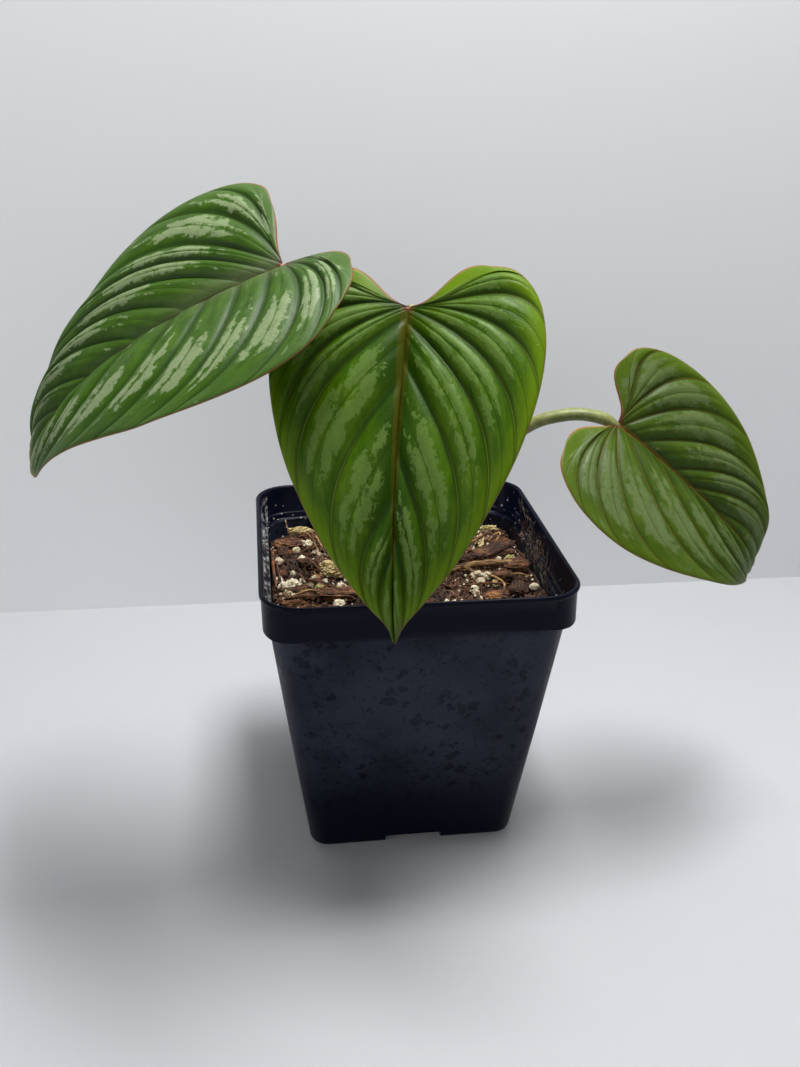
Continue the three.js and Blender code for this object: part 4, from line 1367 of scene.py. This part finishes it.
def half_faces(rows, columns):
    """One half's faces, above, below and round the edge: each corner's layer, row and column."""
    end_row, end_column = rows - 1, columns - 1
    for i in range(end_row):
        for j in range(end_column):
            yield (0, i, j), (0, i, j + 1), (0, i + 1, j + 1), (0, i + 1, j)
            yield (1, i, j), (1, i + 1, j), (1, i + 1, j + 1), (1, i, j + 1)
        yield (0, i, end_column), (1, i, end_column), (1, i + 1, end_column), (0, i + 1, end_column)
    for j in range(end_column):
        yield (0, end_row, j), (0, end_row, j + 1), (1, end_row, j + 1), (1, end_row, j)


def add_half(mesh, maps, half, above, below, place):
    """Joins one half's upper and lower points into faces, and writes the pattern's maps on them."""
    layers = [
        [[mesh.verts.new(place @ Vector(point)) for point in row] for row in surface]
        for surface in (above, below)
    ]
    for corners in half_faces(*half["u"].shape):
        if half["side"] < 0:
            corners = corners[::-1]
        face = mesh.faces.new([layers[layer][i][j] for layer, i, j in corners])
        face.smooth = True
        face.material_index = int(all(layer == 1 for layer, _, _ in corners))
        for loop, (_, i, j) in zip(face.loops, corners):
            for uv_map, uv in zip(maps, pattern_place(half, i, j)):
                loop[uv_map].uv = uv


def make_blade(name, blade, place):
    bend = make_bender(blade)
    mesh = bmesh.new()
    maps = [mesh.loops.layers.uv.new(label) for label in PATTERN_MAPS]
    for index in range(2):
        half = blade_half(blade, index)
        u, v, lift = half["u"], half["v"], half["lift"]
        from_margin = np.minimum(1, half["to_margin"] / MARGIN_WIDTH)
        thickness = THICKNESS * (MARGIN_SHARE + (1 - MARGIN_SHARE) * from_margin)
        above = bend(u, v, lift + thickness / 2)
        below = bend(u, v, lift - thickness / 2 - keel(blade, u, v))
        add_half(mesh, maps, half, above, below, place)
    bmesh.ops.remove_doubles(mesh, verts=mesh.verts, dist=0.012)
    bmesh.ops.dissolve_degenerate(mesh, edges=mesh.edges, dist=0.002)
    bmesh.ops.scale(mesh, vec=(MM, MM, MM), verts=mesh.verts)
    data = bpy.data.meshes.new(name)
    mesh.to_mesh(data)
    mesh.free()
    return link_mesh(name, data)


# How each blade's face is painted. "deep" and "fresh" are its two greens, "edge" the green near the
# margin, "valley_shade" the painted shade beside a vein and in a rib's groove, and "shade_and_sheen"
# the painted shade beside the midrib, which is a pale painted sheen on the left blade. The other
# colours are named for their part. A rib carries a pair of marks: "pair" is their
# distance from its groove and "band" their half width, both as shares of the rib. They run from
# "start" to "stop" along it, "ragged" and "soft" shape their edges, and "amount" is their strength.
# Widths and halves are in millimetres, and "shade_and_sheen_end" is a share of the midrib. Veins
# show as lines from "line_start" on, "groove_shade" and "shade_and_sheen_strength" are the strengths
# of the painted shade in the groove and of the painted shade and sheen by the midrib, "glow" is the
# light let through, and "shine" is how strongly the face reflects.
BLADE_LOOKS = {
    "left": {
        "deep": (0.02, 0.062, 0.003), "fresh": (0.062, 0.14, 0.006), "edge": (0.066, 0.135, 0.022),
        "valley_shade": (0.014, 0.042, 0.004), "line": (0.035, 0.07, 0.01), "midrib": (0.1, 0.12, 0.04),
        "shade_and_sheen": (0.15, 0.16, 0.09), "margin": (0.24, 0.1, 0.035), "tip": (0.3, 0.27, 0.05),
        "mark": (0.26, 0.33, 0.17), "pair": 0.15, "band": 0.19, "start": 0.2, "stop": 0.88,
        "ragged": 0.95, "soft": 0.22, "amount": 0.82, "groove_shade": 0.25,
        "shade_and_sheen_strength": 0.4, "shade_and_sheen_width": 8.0, "shade_and_sheen_end": 0.5,
        "midrib_half": 0.5, "line_half": 0.3, "line_start": -0.3, "glow": 0.12, "shine": 0.2,
    },
    "centre": {
        "deep": (0.026, 0.085, 0.001), "fresh": (0.1, 0.2, 0.002), "edge": (0.16, 0.28, 0.002),
        "valley_shade": (0.012, 0.04, 0.0006), "line": (0.2, 0.27, 0.012), "midrib": (0.08, 0.085, 0.006),
        "shade_and_sheen": (0.014, 0.05, 0.001), "margin": (0.33, 0.15, 0.075), "tip": (0.08, 0.13, 0.015),
        "mark": (0.15, 0.25, 0.05), "pair": 0.15, "band": 0.17, "start": 0.0, "stop": 0.84,
        "ragged": 1.0, "soft": 0.1, "amount": 0.75, "groove_shade": 0.65,
        "shade_and_sheen_strength": 0.75, "shade_and_sheen_width": 13.0, "shade_and_sheen_end": 1.0,
        "midrib_half": 2.0, "line_half": 0.28, "line_start": 0.15, "glow": 0.22, "shine": 0.16,
    },
    "right": {
        "deep": (0.035, 0.08, 0.005), "fresh": (0.09, 0.15, 0.008), "edge": (0.1, 0.165, 0.008),
        "valley_shade": (0.03, 0.055, 0.003), "line": (0.2, 0.14, 0.02), "midrib": (0.22, 0.13, 0.02),
        "shade_and_sheen": (0.02, 0.045, 0.002), "margin": (0.34, 0.16, 0.04), "tip": (0.1, 0.135, 0.025),
        "mark": (0.15, 0.205, 0.075), "pair": 0.14, "band": 0.3, "start": 0.14, "stop": 0.88,
        "ragged": 0.9, "soft": 0.35, "amount": 0.8, "groove_shade": 0.45,
        "shade_and_sheen_strength": 0.5, "shade_and_sheen_width": 9.0, "shade_and_sheen_end": 0.8,
        "midrib_half": 0.6, "line_half": 0.26, "line_start": -0.3, "glow": 0.15, "shine": 0.2,
    },
}
LINE_FADE = 0.6
SINUS_RED = (0.13, 0.018, 0.012)
SPIKE_BROWN = (0.12, 0.04, 0.015)
JOINT_PINK = (0.5, 0.3, 0.2)

# A mark fades in and out over MARK_FADE of its rib, and shows where its level is past MARK_LEVEL.
MARK_SETTINGS = ("Pair", "Band", "Start", "Stop", "Ragged", "Soft", "Amount")
MARK_FADE = 0.25
MARK_LEVEL = 1.42
NET_SCALE = 42.0


def cell_value(make, place, scale):
    """One random value for each small cell of the leaf's net."""
    cells = make.add("ShaderNodeTexVoronoi", {"Vector": place, "Scale": scale}, feature="F1")
    return make.add("ShaderNodeSeparateColor", {"Color": cells.outputs["Color"]}).outputs[0]


def silver_marks_group():
    """A mask of the silver marks, drawn from a rib's own coordinates and broken up by its cells."""
    tree = bpy.data.node_groups.new("silver_marks", "ShaderNodeTree")
    for label in ("Across", "Along", *MARK_SETTINGS):
        tree.interface.new_socket(label, in_out="INPUT", socket_type="NodeSocketFloat")
    tree.interface.new_socket("Flat", in_out="INPUT", socket_type="NodeSocketVector")
    tree.interface.new_socket("Mask", in_out="OUTPUT", socket_type="NodeSocketFloat")
    make = NodeMaker(tree)
    given = make.add("NodeGroupInput").outputs
    part = make.math("FRACT", given["Across"])
    from_middle = make.math("ABSOLUTE", make.math("SUBTRACT", part, 0.5))
    off = make.math("ABSOLUTE", make.math("SUBTRACT", from_middle, given["Pair"]))
    stripe = make.inverse(make.math("DIVIDE", off, given["Band"]))
    full = make.math("ADD", given["Start"], MARK_FADE)
    fading = make.math("SUBTRACT", given["Stop"], MARK_FADE)
    rising = make.step(given["Along"], given["Start"], full)
    falling = make.step(given["Along"], fading, given["Stop"])
    window = make.math("SUBTRACT", rising, falling)
    streak_across = make.math("MULTIPLY", given["Across"], 2.6)
    streak_along = make.math("MULTIPLY", given["Along"], 7.0)
    streak_place = make.add("ShaderNodeCombineXYZ", {"X": streak_across, "Y": streak_along})
    streaks = make.noise(streak_place.outputs[0], 1.0, 3.0, 0.6)
    level = make.math("ADD", make.math("MULTIPLY", window, 1.1), make.math("MULTIPLY", stripe, 0.95))
    for value, weight in (
        (streaks, 3.2),
        (cell_value(make, given["Flat"], NET_SCALE), 0.6),
        (cell_value(make, given["Flat"], 110.0), 0.35),
        (make.noise(given["Flat"], 120.0, 2.0), 0.6),
    ):
        uneven = make.math("MULTIPLY", make.math("SUBTRACT", value, 0.5), weight)
        level = make.math("ADD", level, make.math("MULTIPLY", uneven, given["Ragged"]))
    low = make.math("SUBTRACT", MARK_LEVEL, given["Soft"])
    mask = make.step(level, low, make.math("ADD", MARK_LEVEL, given["Soft"]))
    output = make.add("NodeGroupOutput")
    tree.links.new(make.math("MULTIPLY", mask, given["Amount"], clamp=True), output.inputs[0])
    return tree


def blade_skin(name, length, looks, marks_group):
    """A blade's upper side, painted in layers from the greens up to the lines and the margin."""
    material, make = new_material(name)

    def pair_of(uv_name):
        uv = make.add("ShaderNodeUVMap", uv_map=uv_name).outputs[0]
        parts = make.add("ShaderNodeSeparateXYZ", {"Vector": uv}).outputs
        return uv, parts["X"], parts["Y"]

    def paint(face, share, colour, strength=1.0):
        return make.mix(make.math("MULTIPLY", share, strength), face, colour)

    _, across, along = pair_of("ribs")
    flat, _, ahead = pair_of("flat")
    _, to_vein, to_middle = pair_of("veins")
    _, to_midrib, to_margin = pair_of("edges")
    ahead = make.math("MULTIPLY", ahead, FLAT_UNIT / length)
    foot = make.add("ShaderNodeVectorMath", {0: flat}, operation="LENGTH").outputs["Value"]
    to_foot = make.math("MULTIPLY", foot, FLAT_UNIT)

    # The greens, lighter towards the margin, then painted shade beside the veins, in the grooves and
    # beside the midrib, where the left blade has a pale painted sheen instead.
    mottle = make.noise(flat, 9.0, 4.0)
    twice_along = make.math("MULTIPLY", along, 2.0)
    rib_place = make.add("ShaderNodeCombineXYZ", {"X": across, "Y": twice_along})
    streak = make.noise(rib_place.outputs[0], 4.0, 4.0, 0.6)
    blend = make.math("ADD", make.math("MULTIPLY", mottle, 0.3), make.math("MULTIPLY", streak, 0.7))
    face = paint(looks["deep"], make.step(blend, 0.25, 0.75), looks["fresh"])
    face = paint(face, make.inverse(make.step(to_margin, 2.0, 17.0)), looks["edge"], 0.8)
    # Painted shade beside each vein and in each rib's groove.
    face = paint(face, make.inverse(make.step(to_vein, 0.2, 2.0)), looks["valley_shade"], 0.75)
    groove = make.inverse(make.step(to_middle, 0.05, 0.35))
    face = paint(face, groove, looks["valley_shade"], looks["groove_shade"])
    # Painted shade beside the midrib, fading out towards the tip; a pale painted sheen on the left
    # blade.
    beside_midrib = make.inverse(make.step(to_midrib, 1.0, looks["shade_and_sheen_width"]))
    fading = make.inverse(make.step(ahead, looks["shade_and_sheen_end"] - 0.4, looks["shade_and_sheen_end"]))
    beside_midrib = make.math("MULTIPLY", beside_midrib, fading)
    face = paint(face, beside_midrib, looks["shade_and_sheen"], looks["shade_and_sheen_strength"])

    # The silver marks, which keep off the veins and are faint in the groove and on the net's lines.
    marks = make.add("ShaderNodeGroup", {}, node_tree=marks_group)
    for label in MARK_SETTINGS:
        make.put(marks.inputs[label], looks[label.lower()])
    make.put(marks.inputs["Across"], across)
    make.put(marks.inputs["Along"], along)
    make.put(marks.inputs["Flat"], flat)
    cells = {"Vector": flat, "Scale": NET_SCALE}
    net = make.add("ShaderNodeTexVoronoi", cells, feature="DISTANCE_TO_EDGE")
    net_line = make.inverse(make.step(net.outputs["Distance"], 0.01, 0.07))
    clear_of_middle = make.step(to_middle, 0.1, 0.5)
    mask = make.math("MULTIPLY", marks.outputs[0], make.step(to_vein, 0.4, 1.5))
    in_groove = make.math("ADD", 0.35, make.math("MULTIPLY", clear_of_middle, 0.65))
    mask = make.math("MULTIPLY", mask, in_groove)
    mask = make.math("MULTIPLY", mask, make.inverse(make.math("MULTIPLY", net_line, 0.22)))
    mask = make.math("MULTIPLY", mask, make.math("ADD", 0.72, make.math("MULTIPLY", streak, 0.45)))
    face = paint(face, mask, looks["mark"])

    # The veins' lines, the midrib, the tip and its spike, the margin, and the joint at the foot.
    line = make.inverse(make.step(to_vein, looks["line_half"] * 0.4, looks["line_half"]))
    full_line = looks["line_start"] + LINE_FADE
    line = make.math("MULTIPLY", line, make.step(along, looks["line_start"], full_line))
    face = paint(face, line, looks["line"], 0.85)
    taper = make.math("POWER", make.inverse(ahead), 1.2)
    half_width = make.math("ADD", 0.15, make.math("MULTIPLY", taper, looks["midrib_half"]))
    midrib = make.inverse(make.step(make.math("SUBTRACT", to_midrib, half_width), -0.25, 0.2))
    midrib = make.math("MULTIPLY", midrib, make.step(ahead, -0.01, 0.01))
    face = paint(face, midrib, looks["midrib"], 0.9)
    face = paint(face, make.step(ahead, 0.88, 0.97), looks["tip"])
    face = paint(face, make.step(ahead, 0.98, 0.99), SPIKE_BROWN)
    face = paint(face, make.inverse(make.step(to_margin, 0.25, 0.75)), looks["margin"])
    near_foot = make.inverse(make.step(to_foot, 1.5, 7.0))
    red_edge = make.inverse(make.step(to_margin, 0.3, 2.0))
    red_foot = make.inverse(make.step(to_foot, 0.5, 2.5))
    sinus = make.math("MAXIMUM", red_edge, red_foot)
    face = paint(face, make.math("MULTIPLY", sinus, near_foot), SINUS_RED)
    face = paint(face, make.inverse(make.step(to_foot, 0.5, 1.1)), JOINT_PINK)

    # The finest relief, the sheen, and the light that comes through.
    height = make.math("MULTIPLY", streak, 0.5)
    height = make.math("SUBTRACT", height, make.math("MULTIPLY", net_line, 0.2))
    height = make.math("ADD", height, make.math("MULTIPLY", clear_of_middle, 0.35))
    wants = {"Base Color": face, "Normal": make.bump(height, 0.3, 0.00045)}
    wants["Roughness"] = make.math("ADD", 0.36, make.math("MULTIPLY", mottle, 0.16))
    wants["Specular IOR Level"] = looks["shine"]
    front = make.add("ShaderNodeBsdfPrincipled", wants)
    glow = make.add("ShaderNodeBsdfTranslucent", {"Color": make.mix(0.5, face, looks["fresh"])})
    both = make.add("ShaderNodeMixShader")
    make.put(both.inputs[0], looks["glow"])
    make.tree.links.new(front.outputs[0], both.inputs[1])
    make.tree.links.new(glow.outputs[0], both.inputs[2])
    finish_material(make, both.outputs[0])
    return material


def underside_skin():
    """The underside is matte and paler, with the veins standing out lighter."""
    material, make = new_material("blade_underside")
    uv = make.add("ShaderNodeUVMap", uv_map="veins").outputs[0]
    to_vein = make.add("ShaderNodeSeparateXYZ", {"Vector": uv}).outputs["X"]
    mottle = make.noise(make.object_place(), 180.0, 4.0)
    colour = make.mix(make.step(mottle, 0.3, 0.7), (0.05, 0.105, 0.02), (0.085, 0.155, 0.035))
    on_vein = make.inverse(make.step(to_vein, 0.15, 0.6))
    colour = make.mix(on_vein, colour, (0.15, 0.2, 0.06))
    wants = {"Base Color": colour, "Roughness": 0.6, "Normal": make.bump(on_vein, 0.4, 0.0006)}
    face = make.add("ShaderNodeBsdfPrincipled", {**wants, "Specular IOR Level": 0.2})
    glow = make.add("ShaderNodeBsdfTranslucent", {"Color": colour})
    both = make.add("ShaderNodeMixShader")
    make.put(both.inputs[0], 0.2)
    make.tree.links.new(face.outputs[0], both.inputs[1])
    make.tree.links.new(glow.outputs[0], both.inputs[2])
    finish_material(make, both.outputs[0])
    return material


silver_marks = silver_marks_group()
underside = underside_skin()
for side, blade in BLADES.items():
    leaf_blade = make_blade("leaf_blade_" + side, blade, leaf_frame(LEAVES[side]))
    skin = blade_skin("blade_skin_" + side, blade["length"], BLADE_LOOKS[side], silver_marks)
    leaf_blade.data.materials.append(skin)
    leaf_blade.data.materials.append(underside)
    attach(leaf_blade, "root")
    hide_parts("blade_" + side)


# The stage: a white table against a pale wall. One lamp above throws the soft shadows, and weaker
# light comes from three windows. The wall shows only from its front, so the object can be seen from
# behind.
WALL_PLACE = 0.16
STAGE_WIDTH = 6.0
TABLE_WHITE = (0.5, 0.51, 0.525)
WALL_WHITE = (0.82, 0.832, 0.845)
ROOM_WHITE = (0.8, 0.84, 0.9)
ROOM_LIGHT = 0.06
ROOM_LIGHT_SEEN = 0.5


def stage_sheet(name, corners, tint, one_sided=False):
    mesh = bpy.data.meshes.new(name)
    mesh.from_pydata(corners, [], [(0, 1, 2, 3)])
    sheet = link_mesh(name, mesh)
    material, make = new_material(name)
    unevenness = make.noise(make.object_place(), 3.0, 4.0)
    colour = make.mix(unevenness, tint, tuple(0.94 * c for c in tint))
    paint = make.add("ShaderNodeBsdfPrincipled", {"Base Color": colour, "Roughness": 0.6})
    shader = paint.outputs[0]
    if one_sided:
        behind = make.add("ShaderNodeNewGeometry").outputs["Backfacing"]
        clear = make.add("ShaderNodeBsdfTransparent").outputs[0]
        both = make.add("ShaderNodeMixShader")
        make.put(both.inputs[0], behind)
        make.tree.links.new(shader, both.inputs[1])
        make.tree.links.new(clear, both.inputs[2])
        shader = both.outputs[0]
    finish_material(make, shader)
    sheet.data.materials.append(material)


def soft_light(name, place, target, size, power):
    light = bpy.data.lights.new(name, "AREA")
    light.shape = "RECTANGLE"
    light.size, light.size_y = size
    light.energy = power
    lamp = bpy.data.objects.new(name, light)
    lamp.location = place
    lamp.rotation_euler = (Vector(target) - Vector(place)).to_track_quat("-Z", "Y").to_euler()
    bpy.context.scene.collection.objects.link(lamp)


half_stage = STAGE_WIDTH / 2
stage_sheet(
    "table_top",
    (
        (-half_stage, -half_stage, 0), (half_stage, -half_stage, 0),
        (half_stage, half_stage, 0), (-half_stage, half_stage, 0),
    ),
    TABLE_WHITE,
)
stage_sheet(
    "wall",
    (
        (-half_stage, WALL_PLACE, 0), (half_stage, WALL_PLACE, 0),
        (half_stage, WALL_PLACE, half_stage), (-half_stage, WALL_PLACE, half_stage),
    ),
    WALL_WHITE,
    one_sided=True,
)
soft_light("overhead", (0.08, 0.01, 0.85), (0, 0, 0.1), (0.34, 0.2), 8.0)
soft_light("left_window", (-1.1, -0.6, 0.45), (0, 0, 0.15), (0.5, 0.5), 2.6)
soft_light("right_window", (1.2, 0.0, 0.8), (0, 0, 0.15), (0.5, 0.5), 1.7)
soft_light("front_window", (-0.2, -1.4, 0.6), (0, 0, 0.2), (1.4, 0.8), 4.0)
world = bpy.data.worlds.new("room")
world.use_nodes = True
world.node_tree.nodes.clear()
room = NodeMaker(world.node_tree)
seen = room.add("ShaderNodeLightPath").outputs["Is Camera Ray"]
strength = room.math("ADD", ROOM_LIGHT, room.math("MULTIPLY", seen, ROOM_LIGHT_SEEN))
glow_of_room = room.add("ShaderNodeBackground", {"Color": ROOM_WHITE, "Strength": strength})
room.tree.links.new(glow_of_room.outputs[0], room.add("ShaderNodeOutputWorld").inputs["Surface"])
bpy.context.scene.world = world
bpy.context.scene.view_settings.view_transform = "Standard"
